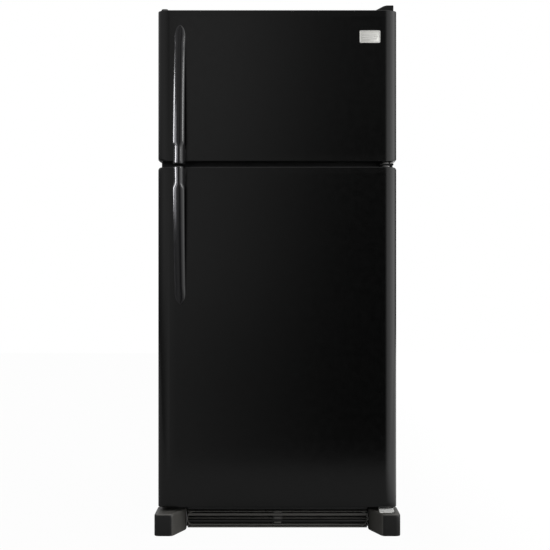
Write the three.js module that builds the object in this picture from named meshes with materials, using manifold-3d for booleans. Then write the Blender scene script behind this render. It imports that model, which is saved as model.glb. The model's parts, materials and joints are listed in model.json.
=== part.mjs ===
// Top freezer refrigerator: an insulated steel cabinet with a freezer above and a
// fresh-food compartment below, two right-hinged doors, shelves, drawers, bins,
// the cooling system, and the feet, grille and hinges that carry it.
// Millimetres, +Z up, front towards -Y. The origin is the centre of the whole
// object's box, on the floor.
// Inside the assembly group, x is left to right, y is the depth behind the doors'
// front face, and z is the height above the floor.

import * as THREE from 'three';
import { mergeVertices } from 'three/addons/utils/BufferGeometryUtils.js';
import Module from 'manifold-3d';

const wasm = await Module();
wasm.setup();

// ---------------------------------------------------------------- dimensions
const GAP = 0.3;            // clearance between touching pieces
const FACE_Y = -355.5;      // the doors' front face in the row frame

const DOOR_HALF = 380;      // half the width of a door
const DOOR_DEPTH = 58;      // thickness of a door without its gasket
const EDGE_A = 40;          // width of the rolled side edge of a door
const EDGE_B = 26;          // depth of the rolled side edge of a door
const SKIN = 1.5;           // door skin
const CAP = 20;             // height of a door end cap
const FREEZER_Z = [1178, 1657];
const FRIDGE_Z = [79, 1160];

const HINGE_X = 348;        // hinge axis
const HINGE_T = 30;
const PIN_R = 5;
const PIN_HOLE_R = 5.5;

const CAB_HALF = 374;       // half the width of the cabinet shell
const CAB_Z = [40, 1657];
const FLANGE_T = 72;        // front of the cabinet flange
const CAB_BACK = 760;       // rear edge of the shell's sides
const WALL = 3;             // sheet and liner thickness
const SPACER_BACK = 771;    // wall spacers on the rear cover

const LINER_HALF = 318;     // half the width inside both compartments
const FREEZER_IN = { z0: 1205, z1: 1595, t1: 700 };
const FRIDGE_IN = { z0: 120, z1: 1130, t1: 710 };
const HUMP = { t: 484, z: 345 };   // step over the machine compartment
const MACHINE = { t: 508, z: 318 };

const DYKE = { x0: -300, x1: 305, t: 80, w: 22 };   // raised rim on a door liner
const BIN = { x0: -276, x1: 281, t0: 60, t1: 160 };

const FOOT_HALF = 386;      // outside of the foot covers
const FOOT_TOP = 69;
const FOOT_FRONT = -45;
const GRILLE_T = [33, 58];
const GRILLE_Z = [8, 74];

const HANDLE = { x0: -326, x1: -290, front: -60, thick: 20, bow: 56 };
const FREEZER_HANDLE_Z = [1164.5, 1609];
const FRIDGE_HANDLE_Z = [723.5, 1155.5];

const LEG = { x: 350, t: 108, padR: 18, padH: 14, rodR: 6, top: 82 };
const ROLLER = { x: 355, t: 705, r: 24, w: 14, axleR: 4 };

const CRISPER = { t0: 190, t1: 478, z0: 126, z1: 300, in: 4, out: 308, wall: 3 };

// ---------------------------------------------------------------- materials
const mat = (hex, roughness, metalness = 0) =>
  new THREE.MeshStandardMaterial({ color: hex, roughness, metalness });
const M = {
  doorBlack: mat(0x202121, 0.28, 0.1),
  cabinetBlack: mat(0x1c1d1d, 0.5, 0.1),
  trimBlack: mat(0x161717, 0.45),
  handleBlack: mat(0x0b0b0c, 0.15),
  grilleGrey: mat(0x3a3a38, 0.5),
  footGrey: mat(0x42413c, 0.55),
  gasket: mat(0x2a2a2a, 0.8),
  liner: mat(0xe9ebea, 0.35),
  foam: mat(0xe2cf9a, 0.95),
  galvanised: mat(0x9b9d9c, 0.45, 0.8),
  zinc: mat(0xb9bab6, 0.35, 0.85),
  badge: mat(0xb4b3ae, 0.35, 0.7),
  compressorBlack: mat(0x151515, 0.5, 0.2),
  copper: mat(0x2b2b2c, 0.5, 0.3),
  aluminium: mat(0xb8babb, 0.4, 0.8),
  clear: mat(0xdfe8ea, 0.1),
  glass: mat(0xd5e2e0, 0.05),
  whitePlastic: mat(0xdcdedd, 0.4),
  greyPlastic: mat(0x8f9394, 0.5),
  wire: mat(0xe6e7e6, 0.35),
  rubber: mat(0x1a1a1a, 0.85),
};

// ---------------------------------------------------------------- helpers
// A closed geometry with merged vertices, as a solid.
function solid(geometry) {
  const g = geometry.clone();
  for (const n of Object.keys(g.attributes)) if (n !== 'position') g.deleteAttribute(n);
  const m = mergeVertices(g, 1e-4);
  const idx = m.index.array;
  const tri = [];
  for (let i = 0; i < idx.length; i += 3) {
    const [a, b, c] = [idx[i], idx[i + 1], idx[i + 2]];
    if (a !== b && b !== c && a !== c) tri.push(a, b, c);
  }
  return new wasm.Manifold(new wasm.Mesh({
    numProp: 3,
    vertProperties: new Float32Array(m.attributes.position.array),
    triVerts: new Uint32Array(tri),
  }));
}

function geometryOf(manifold) {
  const mesh = manifold.getMesh();
  const g = new THREE.BufferGeometry();
  g.setAttribute('position', new THREE.BufferAttribute(new Float32Array(mesh.vertProperties), 3));
  g.setIndex(new THREE.BufferAttribute(new Uint32Array(mesh.triVerts), 1));
  g.computeVertexNormals();
  return g;
}

// Axis-aligned block from its limits.
function block(x0, x1, t0, t1, z0, z1) {
  const g = new THREE.BoxGeometry(x1 - x0, t1 - t0, z1 - z0);
  g.translate((x0 + x1) / 2, (t0 + t1) / 2, (z0 + z1) / 2);
  return solid(g);
}

function shapeOf(points) {
  return new THREE.Shape(points.map(([a, b]) => new THREE.Vector2(a, b)));
}

// Plan outline (x, t) raised from z0 to z1.
function planPrism(points, z0, z1) {
  const g = new THREE.ExtrudeGeometry(shapeOf(points), { depth: z1 - z0, bevelEnabled: false });
  g.translate(0, 0, z0);
  return solid(g);
}

// Side outline (t, z) drawn out from x0 to x1.
function sidePrism(points, x0, x1) {
  const g = new THREE.ExtrudeGeometry(shapeOf(points), { depth: x1 - x0, bevelEnabled: false });
  // shape x -> t, shape y -> z, depth -> x
  g.applyMatrix4(new THREE.Matrix4().set(
    0, 0, 1, x0,
    1, 0, 0, 0,
    0, 1, 0, 0,
    0, 0, 0, 1));
  return solid(g);
}

// Front outline (x, z) drawn back from t0 to t1.
function frontPrism(points, t0, t1) {
  const g = new THREE.ExtrudeGeometry(shapeOf(points), { depth: t1 - t0, bevelEnabled: false });
  // shape x -> x, shape y -> z, depth -> t, mirrored to keep the faces out
  g.applyMatrix4(new THREE.Matrix4().set(
    1, 0, 0, 0,
    0, 0, -1, t1,
    0, 1, 0, 0,
    0, 0, 0, 1));
  return solid(g);
}

// Round bar along x, t (y) or z.
function bar(axis, r, a0, a1, u, v, sides = 16, r2 = r) {
  const g = new THREE.CylinderGeometry(r2, r, a1 - a0, sides);
  const c = (a0 + a1) / 2;
  if (axis === 'z') { g.rotateX(Math.PI / 2); g.translate(u, v, c); }
  if (axis === 't') { g.translate(u, c, v); }
  if (axis === 'x') { g.rotateZ(-Math.PI / 2); g.translate(c, u, v); }
  return solid(g);
}

function join(...parts) { return parts.reduce((a, b) => a.add(b)); }
function cut(a, ...parts) { return parts.reduce((s, b) => s.subtract(b), a); }

function node(parent, name, manifold, material, at = null) {
  const mesh = new THREE.Mesh(geometryOf(manifold), material);
  mesh.name = name;
  if (at) mesh.position.set(at[0], at[1], at[2]);
  parent.add(mesh);
  return mesh;
}

// Round tube along smooth points.
function tube(points, r, steps, sides = 6) {
  const curve = new THREE.CatmullRomCurve3(points.map(p => new THREE.Vector3(...p)), false, 'centripetal');
  const ring = [];
  for (let i = 0; i < sides; i++) {
    const a = (i / sides) * Math.PI * 2;
    ring.push([r * Math.cos(a), r * Math.sin(a)]);
  }
  return solid(new THREE.ExtrudeGeometry(shapeOf(ring), { steps, bevelEnabled: false, extrudePath: curve }));
}

// Serpentine: straight passes along x stacked in z, at one depth.
function serpentine(x0, x1, t, z0, pitch, passes) {
  const pts = [];
  for (let i = 0; i < passes; i++) {
    const z = z0 + i * pitch;
    const [a, b] = i % 2 ? [x1, x0] : [x0, x1];
    const s = Math.sign(b - a);
    pts.push([a + s * pitch * 0.1, t, z], [a + s * 60, t, z], [(a + b) / 2, t, z], [b - s * 60, t, z], [b - s * pitch * 0.1, t, z]);
    if (i < passes - 1) pts.push([b + s * pitch * 0.4, t, z + pitch / 2]);
  }
  return pts;
}

// ---------------------------------------------------------------- assembly
const fridge = new THREE.Group();
fridge.position.set(0, FACE_Y, 0);
const cabinet = new THREE.Group();
const freezerDoor = new THREE.Group();
const fridgeDoor = new THREE.Group();
fridge.add(cabinet, freezerDoor, fridgeDoor);

// ---- cabinet shell: wrapped top and sides with a front flange and cross rail
{
  const s = cut(
    block(-CAB_HALF, CAB_HALF, FLANGE_T, CAB_BACK, CAB_Z[0], CAB_Z[1]),
    block(-CAB_HALF + WALL, CAB_HALF - WALL, FLANGE_T + WALL, CAB_BACK + 5, CAB_Z[0] - 5, CAB_Z[1] - WALL),
    block(-LINER_HALF - WALL - GAP, LINER_HALF + WALL + GAP, FLANGE_T - 5, FLANGE_T + 10, FREEZER_IN.z0 - WALL - GAP, FREEZER_IN.z1 + WALL + GAP),
    block(-LINER_HALF - WALL - GAP, LINER_HALF + WALL + GAP, FLANGE_T - 5, FLANGE_T + 10, FRIDGE_IN.z0 - WALL - GAP, FRIDGE_IN.z1 + WALL + GAP),
    block(-CAB_HALF + WALL, CAB_HALF - WALL, FLANGE_T - 5, FLANGE_T + 10, CAB_Z[0] - 5, 88));
  node(cabinet, 'cabinet_shell', s, M.cabinetBlack);
}

// ---- back panel of the insulated part
node(cabinet, 'back_panel', block(-CAB_HALF + WALL + GAP, CAB_HALF - WALL - GAP, 753, 756, 318, CAB_Z[1] - WALL - GAP), M.galvanised);

// ---- foam between shell and liners
{
  const h = LINER_HALF + WALL + 0.4;
  const s = cut(
    block(-CAB_HALF + WALL + 0.4, CAB_HALF - WALL - 0.4, FLANGE_T + WALL + 0.4, 752.6, 90, CAB_Z[1] - WALL - 0.4),
    block(-h, h, 0, FREEZER_IN.t1 + WALL + 0.4, FREEZER_IN.z0 - WALL - 0.4, FREEZER_IN.z1 + WALL + 0.4),
    block(-h, h, 0, HUMP.t + WALL + 0.4, FRIDGE_IN.z0 - WALL - 0.4, FRIDGE_IN.z1 + WALL + 0.4),
    block(-h, h, 0, FRIDGE_IN.t1 + WALL + 0.4, HUMP.z - WALL - 0.4, FRIDGE_IN.z1 + WALL + 0.4),
    block(-400, 400, MACHINE.t, 800, 0, MACHINE.z));
  node(cabinet, 'cabinet_foam', s, M.foam);
}

// ---- freezer liner with shelf ribs
{
  const h = LINER_HALF;
  let s = cut(
    block(-h - WALL, h + WALL, FLANGE_T + GAP, FREEZER_IN.t1 + WALL, FREEZER_IN.z0 - WALL, FREEZER_IN.z1 + WALL),
    block(-h, h, 0, FREEZER_IN.t1, FREEZER_IN.z0, FREEZER_IN.z1));
  s = join(s, block(h - 8, h + 1, 200, 585, 1384, 1391), block(-h - 1, -h + 8, 200, 585, 1384, 1391));
  node(cabinet, 'freezer_liner', s, M.liner);
}

// ---- fresh-food liner: stepped over the machine compartment, ribs, lamp switch boss
const SWITCH = { x: 298, z: 1100 };
{
  const h = LINER_HALF, w = WALL;
  const outer = [[FLANGE_T + GAP, FRIDGE_IN.z0 - w], [HUMP.t + w, FRIDGE_IN.z0 - w], [HUMP.t + w, HUMP.z - w],
    [FRIDGE_IN.t1 + w, HUMP.z - w], [FRIDGE_IN.t1 + w, FRIDGE_IN.z1 + w], [FLANGE_T + GAP, FRIDGE_IN.z1 + w]];
  const inner = [[40, FRIDGE_IN.z0], [HUMP.t, FRIDGE_IN.z0], [HUMP.t, HUMP.z],
    [FRIDGE_IN.t1, HUMP.z], [FRIDGE_IN.t1, FRIDGE_IN.z1], [40, FRIDGE_IN.z1]];
  let s = cut(sidePrism(outer, -h - w, h + w), sidePrism(inner, -h, h));
  for (const z of [872, 612]) {
    s = join(s, block(h - 8, h + 1, 200, 640, z - 7, z), block(-h - 1, -h + 8, 200, 640, z - 7, z));
  }
  s = join(s, block(h - 8, h + 1, 192, 480, 296, 303), block(-h - 1, -h + 8, 192, 480, 296, 303));
  // coved rear corners
  const t = FRIDGE_IN.t1, c = 22;
  s = join(s,
    planPrism([[h + 1, t + 1], [h - c, t + 1], [h - c, t], [h, t - c], [h + 1, t - c]], HUMP.z - 1, FRIDGE_IN.z1 + 1),
    planPrism([[-h - 1, t + 1], [-h - 1, t - c], [-h, t - c], [-h + c, t], [-h + c, t + 1]], HUMP.z - 1, FRIDGE_IN.z1 + 1));
  s = join(s, block(SWITCH.x - 10, h + 1, 92, 126, SWITCH.z - 12, SWITCH.z + 12));
  s = cut(s, bar('t', 5.6, 85, 118, SWITCH.x, SWITCH.z, 12));
  node(cabinet, 'fridge_liner', s, M.liner);
}

// ---- base frame: rails, front crossbar, rear plate, roller cheeks
{
  let s = join(
    block(-370, 370, 80, 134, 60, 86),
    block(340, 370, 130, 738, 60, 86),
    block(-370, -340, 130, 738, 60, 86),
    block(-341, 341, 512, 738, 60, 64));
  for (const sx of [-1, 1]) {
    for (const [a, b] of [[340.5, 345], [365, 369.5]]) {
      const [x0, x1] = sx > 0 ? [a, b] : [-b, -a];
      s = join(s, cut(block(x0, x1, ROLLER.t - 15, ROLLER.t + 15, 13, 62), bar('x', ROLLER.axleR + 0.5, x0 - 2, x1 + 2, ROLLER.t, ROLLER.r, 12)));
    }
    s = cut(s, bar('z', LEG.rodR + 0.5, 55, 84, sx * LEG.x, LEG.t, 16));
  }
  node(cabinet, 'base_frame', s, M.galvanised);
}

// ---- compressor
{
  const prof = [[0, 0], [62, 0], [62, 10], [78, 26], [84, 60], [84, 112], [76, 150], [52, 176], [22, 186], [0, 188]]
    .map(([r, z]) => new THREE.Vector2(r, z));
  const g = new THREE.LatheGeometry(prof, 20);
  g.rotateX(Math.PI / 2);
  g.scale(1.15, 0.95, 1);
  const s = join(solid(g), block(-100, 100, -62, 62, 3, 8), block(88, 118, -24, 24, 60, 118));
  node(cabinet, 'compressor', s, M.compressorBlack, [190, 630, 64.4]);
}

// ---- condenser coil
node(cabinet, 'condenser_coil', join(
  tube(serpentine(-318, -96, 660, 96, 30, 7), 5, 72, 6),
  block(-286, -282, 654, 666, 84, 288), block(-132, -128, 654, 666, 84, 288)), M.copper);

// ---- condenser fan
const CFAN = { x: -60, t: 640, z: 180, r: 74 };
function fan(axis, hubR, hubL, r, blades, chord, thick) {
  let s = bar(axis, hubR, -hubL / 2, hubL / 2, 0, 0, 12);
  for (let i = 0; i < blades; i++) {
    const g = new THREE.BoxGeometry(r - hubR + 5, chord, thick);
    g.translate((r + hubR - 5) / 2, 0, 0);
    g.rotateX(0.55);
    g.rotateZ((i / blades) * Math.PI * 2);
    if (axis === 't') g.rotateX(Math.PI / 2);
    if (axis === 'x') g.rotateY(Math.PI / 2);
    s = join(s, solid(g));
  }
  return s;
}
node(cabinet, 'condenser_fan_blade', fan('x', 20, 22, CFAN.r, 4, 44, 2.4), M.greyPlastic, [CFAN.x, CFAN.t, CFAN.z]);
node(cabinet, 'condenser_fan_motor', join(
  bar('x', 30, CFAN.x + 13, CFAN.x + 60, CFAN.t, CFAN.z, 16),
  block(CFAN.x + 40, CFAN.x + 44, CFAN.t - 90, CFAN.t + 90, 64.4, 84),
  block(CFAN.x + 40, CFAN.x + 44, CFAN.t - 14, CFAN.t + 14, 64.4, CFAN.z)), M.galvanised);

// ---- rear cover of the machine compartment, with louvres and wall spacers
{
  let s = block(-368, 368, CAB_BACK + 0.5, CAB_BACK + 3.5, 66, 322);
  for (let r = 0; r < 5; r++) for (const [x0, x1] of [[-330, -190], [-160, -20], [20, 160]])
    s = cut(s, block(x0, x1, CAB_BACK - 3, CAB_BACK + 6, 110 + r * 30, 118 + r * 30));
  s = join(s, block(-350, -320, CAB_BACK + 2, SPACER_BACK, 280, 310), block(320, 350, CAB_BACK + 2, SPACER_BACK, 280, 310));
  node(cabinet, 'rear_access_cover', s, M.galvanised);
}

// ---- supply inlet gland, set in the cover's lower right
node(cabinet, 'power_inlet', join(
  block(230, 262, CAB_BACK + 3.8, CAB_BACK + 8, 84, 116),
  bar('t', 10, CAB_BACK + 5, CAB_BACK + 10.5, 246, 100, 16)), M.trimBlack);

// ---- toe grille: frame with horizontal louvres and round ends
{
  const [z0, z1] = GRILLE_Z, [t0, t1] = GRILLE_T, h = 289;
  const outline = [];
  const zc = (z0 + z1) / 2, rz = (z1 - z0) / 2;
  for (let i = 0; i <= 8; i++) { const a = -Math.PI / 2 + (i / 8) * Math.PI; outline.push([h - 14 + 14 * Math.cos(a), zc + rz * Math.sin(a)]); }
  for (let i = 0; i <= 8; i++) { const a = Math.PI / 2 + (i / 8) * Math.PI; outline.push([-h + 14 + 14 * Math.cos(a), zc + rz * Math.sin(a)]); }
  let s = cut(frontPrism(outline, t0, t1), block(-h + 16, h - 16, t0 + 12, t1 + 5, z0 + 6, z1 - 5));
  for (const [a, b] of [[z0 + 12, z0 + 20], [z0 + 26, z0 + 34], [z0 + 40, z0 + 48], [z0 + 53, z0 + 59]])
    for (const [x0, x1] of [[-h + 22, -8], [8, h - 22]]) s = cut(s, block(x0, x1, t0 - 5, t0 + 14, a, b));
  node(cabinet, 'toe_grille', s, M.grilleGrey);
}

// ---- foot covers: hollow caps round the front corners, open below and behind
function footCover(sx, inset, top) {
  const f = FOOT_FRONT + inset, o = FOOT_HALF - inset, i0 = 325.5 + inset, i1 = 292.5 + inset;
  const p = [[o, 70 + (inset ? 20 : 0)], [o, f + 12], [o - 3.5, f + 3.5], [o - 12, f], [i0 + 10, f], [i0 + 2.5, f + 3], [i0 - 3, f + 12], [i1, 40], [i1, 70 + (inset ? 20 : 0)]];
  const q = p.map(([x, t]) => [sx * x, t]);
  return planPrism(sx > 0 ? q.reverse() : q, inset ? -5 : 2, top);
}
for (const [name, sx] of [['foot_cover_left', -1], ['foot_cover_right', 1]])
  node(cabinet, name, cut(footCover(sx, 0, FOOT_TOP), footCover(sx, WALL, FOOT_TOP - WALL)), M.footGrey);

// ---- top hinge: plate on the cabinet roof with a pin down into the freezer door
node(cabinet, 'top_hinge', join(
  block(328, 365, 14, 150, 1657.4, 1661.4),
  bar('z', PIN_R, 1641, 1659, HINGE_X, HINGE_T, 16),
  bar('z', 5, 1660, 1664, 340, 110, 8), bar('z', 5, 1660, 1664, 356, 134, 8)), M.zinc);

// ---- top hinge cover: sloped cap over the plate, open below
{
  const outer = [[297, 1657.7], [369, 1657.7], [369, 1678], [367, 1680], [341, 1680], [336, 1679]];
  const inner = [[303, 1650], [366, 1650], [366, 1677], [341, 1677], [318, 1668], [306, 1660]];
  node(cabinet, 'top_hinge_cover', cut(frontPrism(outer, 5, 170), frontPrism(inner, 8, 167)), M.trimBlack);
}

// ---- centre hinge: bracket between the doors with pins up and down, and spacers
node(cabinet, 'center_hinge', join(
  block(318, 371, 69.5, 71.7, 1161.5, 1176.5),
  block(328, 370, 14, 71, 1167, 1171),
  bar('z', PIN_R, 1146, 1192, HINGE_X, HINGE_T, 16),
  bar('z', 9.5, 1160.6, 1177.4, HINGE_X, HINGE_T, 16)), M.zinc);

// ---- bottom hinge: bracket with a pin up into the fresh-food door
node(cabinet, 'bottom_hinge', join(
  block(328, 370, 14, 79.5, 71.5, 75.5),
  block(328, 368, 76, 79.5, 50, 75.5),
  bar('z', PIN_R, 73, 96, HINGE_X, HINGE_T, 16),
  bar('z', 9.5, 75, 78.6, HINGE_X, HINGE_T, 16)), M.zinc);

// ---- evaporator behind the freezer's rear cover
node(cabinet, 'evaporator_coil', join(
  tube(serpentine(-262, 262, 655, 1228, 28, 6), 5, 64, 6),
  block(-232, -229, 645, 665, 1216, 1380), block(229, 232, 645, 665, 1216, 1380)), M.aluminium);
const EFAN = { x: 0, t: 628, z: 1490, r: 50 };
{
  let s = block(-LINER_HALF + 1, LINER_HALF - 1, 604, 607, FREEZER_IN.z0 + 1, FREEZER_IN.z1 - 1);
  s = cut(s, bar('t', 54, 600, 612, EFAN.x, EFAN.z, 24));
  s = join(s, block(-56, 56, 604, 607, EFAN.z - 3, EFAN.z + 3), block(-3, 3, 604, 607, EFAN.z - 56, EFAN.z + 56),
    cut(bar('t', 34, 604, 607, EFAN.x, EFAN.z, 24), bar('t', 30, 600, 612, EFAN.x, EFAN.z, 24)));
  for (let i = 0; i < 6; i++) s = cut(s, block(-280 + i * 96, -280 + i * 96 + 76, 600, 612, 1222, 1230));
  node(cabinet, 'evaporator_cover', s, M.whitePlastic);
}
node(cabinet, 'evaporator_fan_blade', fan('t', 13, 16, EFAN.r, 4, 26, 2), M.greyPlastic, [EFAN.x, EFAN.t, EFAN.z]);
node(cabinet, 'evaporator_fan_motor', join(
  bar('t', 24, EFAN.t + 10, 690, EFAN.x, EFAN.z, 16),
  block(-40, 40, 686, 699.5, EFAN.z - 12, EFAN.z + 12)), M.galvanised);

// ---- freezer wire shelf
{
  const z0 = 1391.4, z1 = 1396.4, a = 316.5, t0 = 196, t1 = 590;
  let s = cut(block(-a, a, t0, t1, z0, z1), block(-a + 6, a - 6, t0 + 6, t1 - 6, z0 - 5, z1 + 5));
  for (let i = 1; i <= 9; i++) { const x = -a + (2 * a * i) / 10; s = join(s, block(x - 2, x + 2, t0 + 3, t1 - 3, z0 + 1, z1 - 1)); }
  s = join(s, block(-a + 2, a - 2, t0 + 1, t0 + 4, z0 - 16, z0 + 1));
  node(cabinet, 'freezer_shelf', s, M.wire);
}

// ---- control housing in the fresh-food compartment, lamp lens and dial
node(cabinet, 'control_housing', sidePrism([[270, 1094], [284, 1084], [440, 1084], [440, 1129.5], [270, 1129.5]], -170, 170), M.whitePlastic);
node(cabinet, 'lamp_lens', sidePrism([[300, 1083.7], [306, 1072], [404, 1072], [410, 1083.7]], -130, -20), M.clear);
{
  const s = cut(join(bar('t', 23, -10.5, 0, 0, 0, 24), block(-3, 3, -15, -9, -21, 21)));
  node(cabinet, 'temperature_knob', s, M.greyPlastic, [80, 269.6, 1106]);
}

// ---- lamp switch plunger
node(cabinet, 'light_switch', join(bar('t', 5, 0, 32, 0, 0, 12), bar('t', 5, -0.0, 2, 0, 0, 12)), M.whitePlastic, [SWITCH.x, 80.6, SWITCH.z]);

// ---- shelves: glass set in a moulded rim
function shelf(t0, t1, z0, z1) {
  const a = 316.5;
  return join(
    cut(block(-a, a, t0, t1, z0, z1), block(-a + 18, a - 18, t0 + 24, t1 - 18, z0 - 5, z1 + 5)),
    block(-a + 8, a - 8, t0 + 10, t1 - 8, z1 - 6, z1 - 2));
}
node(cabinet, 'shelf_upper', shelf(192, 686, 872.4, 884.4), M.glass);
node(cabinet, 'shelf_lower', shelf(192, 686, 612.4, 624.4), M.glass);
node(cabinet, 'crisper_cover', shelf(190, 482, 303.4, 315.4), M.glass);

// ---- drawers
function crisper(sx) {
  const { t0, t1, z0, z1, wall: w } = CRISPER;
  const [x0, x1] = sx < 0 ? [-CRISPER.out, -CRISPER.in] : [CRISPER.in, CRISPER.out];
  return cut(
    sidePrism([[t0, z0 + 12], [t0 + 8, z0], [t1, z0], [t1, z1 - 14], [t0 + 30, z1 - 14], [t0 + 26, z1], [t0, z1]], x0, x1),
    sidePrism([[t0 + 6, z0 + 14], [t0 + 12, z0 + w], [t1 - w, z0 + w], [t1 - w, z1 + 5], [t0 + 6, z1 + 5]], x0 + w, x1 - w));
}
node(cabinet, 'crisper_left', crisper(-1), M.clear);
node(cabinet, 'crisper_right', crisper(1), M.clear);
function slider() {
  return join(block(-20, 20, 0, 4, -6, 6), block(-6, 6, -3.5, 1, -6, 6));
}
node(cabinet, 'humidity_slider_left', slider(), M.whitePlastic, [-156, CRISPER.t0 - 4.3, 282]);
node(cabinet, 'humidity_slider_right', slider(), M.whitePlastic, [156, CRISPER.t0 - 4.3, 282]);

// ---- levelling legs and rear rollers
function leg() {
  return join(bar('z', LEG.padR, 0, LEG.padH, 0, 0, 12, LEG.padR - 3), bar('z', LEG.rodR, LEG.padH - 2, LEG.top, 0, 0, 12), bar('z', 11, LEG.padH - 1, 24, 0, 0, 6));
}
node(cabinet, 'leveling_leg_left', leg(), M.zinc, [-LEG.x, LEG.t, 0]);
node(cabinet, 'leveling_leg_right', leg(), M.zinc, [LEG.x, LEG.t, 0]);
function roller() {
  return join(bar('x', ROLLER.r, -ROLLER.w / 2, ROLLER.w / 2, 0, 0, 24), bar('x', ROLLER.axleR, -14, 14, 0, 0, 12));
}
node(cabinet, 'rear_roller_left', roller(), M.rubber, [-ROLLER.x, ROLLER.t, ROLLER.r]);
node(cabinet, 'rear_roller_right', roller(), M.rubber, [ROLLER.x, ROLLER.t, ROLLER.r]);

// ---------------------------------------------------------------- doors
// Plan outline of a door: flat front, rolled side edges, and back corners cut off so
// that they clear the cabinet as the door turns.
const BACK_CUT = DOOR_HALF + DOOR_DEPTH - 6;
function doorOutline(inset, back) {
  const h = DOOR_HALF - inset, a = EDGE_A - inset, b = EDGE_B - inset, n = 6, p = [];
  const k = BACK_CUT - inset * Math.SQRT2;
  p.push([-(k - back), back], [-h, k - h]);
  for (let i = 0; i <= n; i++) { const u = (i / n) * Math.PI / 2; p.push([-DOOR_HALF + EDGE_A - a * Math.cos(u), EDGE_B - b * Math.sin(u)]); }
  for (let i = 0; i <= n; i++) { const u = (i / n) * Math.PI / 2; p.push([DOOR_HALF - EDGE_A + a * Math.sin(u), EDGE_B - b * Math.cos(u)]); }
  p.push([h, k - h], [k - back, back]);
  return p;
}

function doorPanel(z0, z1) {
  return cut(planPrism(doorOutline(0, DOOR_DEPTH), z0, z1), planPrism(doorOutline(SKIN, DOOR_DEPTH + 10), z0 - 5, z1 + 5));
}

function doorFoam(z0, z1) {
  return planPrism(doorOutline(SKIN + 0.4, DOOR_DEPTH - 4.1), z0, z1);
}

function doorLiner(z0, z1, d0, d1) {
  const h = BACK_CUT - DOOR_DEPTH - (SKIN + 0.4) * Math.SQRT2;
  const { x0, x1, t, w } = DYKE;
  return join(
    block(-h, h, DOOR_DEPTH - 3.7, DOOR_DEPTH, z0, z1),
    cut(block(x0, x1, DOOR_DEPTH - 1, t, d0, d1), block(x0 + w, x1 - w, DOOR_DEPTH - 3, t + 5, d0 + w, d1 - w)));
}

function doorCap(z0, z1, hole0, hole1) {
  return cut(planPrism(doorOutline(0, DOOR_DEPTH), z0, z1), bar('z', PIN_HOLE_R, hole0, hole1, HINGE_X, HINGE_T, 16));
}

function gasket(z0, z1) {
  return cut(block(-345, 345, DOOR_DEPTH + GAP, FLANGE_T - GAP, z0, z1), block(-329, 329, 40, 90, z0 + 16, z1 - 16));
}

// A bar that stands off the door at the cut end and runs down to the door at its tip.
// Its front is one arc, and its foot meets the door near the cut end.
function handle(zCut, zTip) {
  const s = Math.sign(zTip - zCut), L = Math.abs(zTip - zCut), f = HANDLE.front, k = HANDLE.thick;
  const z = d => zCut + s * d;
  const front = u => f + HANDLE.bow * u * u, back = u => front(u) + k - 2.5 * u;
  const p = [0, 0.15, 0.3, 0.45, 0.6, 0.75, 0.88, 0.96].map(u => [front(u), z(u * L)]);
  p.push([-3, z(L)], [-GAP, z(L)], [-GAP, z(0.86 * L)]);
  for (const u of [0.82, 0.75, 0.66, 0.55, 0.43, 0.3]) p.push([back(u), z(u * L)]);
  p.push([back(62 / L), z(62)], [-14, z(54)], [-GAP, z(54)], [-GAP, z(20)], [-14, z(20)], [f + k, z(8)], [f + k, z(0)]);
  return sidePrism(s > 0 ? p.reverse() : p, HANDLE.x0, HANDLE.x1);
}

function bin(z0, z1) {
  return cut(block(BIN.x0, BIN.x1, BIN.t0, BIN.t1, z0, z1),
    block(BIN.x0 + 3, BIN.x1 - 3, BIN.t0 + 3, BIN.t1 - 3, z0 + 3, z1 + 10));
}

// ---- freezer door
{
  const [z0, z1] = FREEZER_Z, a = z0 + CAP + GAP, b = z1 - CAP - GAP;
  node(freezerDoor, 'freezer_door_panel', doorPanel(a, b), M.doorBlack);
  node(freezerDoor, 'freezer_door_foam', doorFoam(a, b), M.foam);
  node(freezerDoor, 'freezer_door_liner', doorLiner(a, b, 1212, 1588), M.liner);
  node(freezerDoor, 'freezer_door_cap_top', doorCap(z1 - CAP, z1, 1639.5, z1 + 5), M.trimBlack);
  node(freezerDoor, 'freezer_door_cap_bottom', doorCap(z0, z0 + CAP, z0 - 5, 1194), M.trimBlack);
  node(freezerDoor, 'freezer_door_gasket', gasket(1181, 1622), M.gasket);
  node(freezerDoor, 'freezer_handle', handle(...FREEZER_HANDLE_Z), M.handleBlack);
  node(freezerDoor, 'nameplate', block(260, 328, -3, -GAP, 1552, 1593.5), M.badge);
  node(freezerDoor, 'freezer_door_bin_lower', bin(1236, 1320), M.clear);
  node(freezerDoor, 'freezer_door_bin_upper', bin(1410, 1482), M.clear);
}

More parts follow.
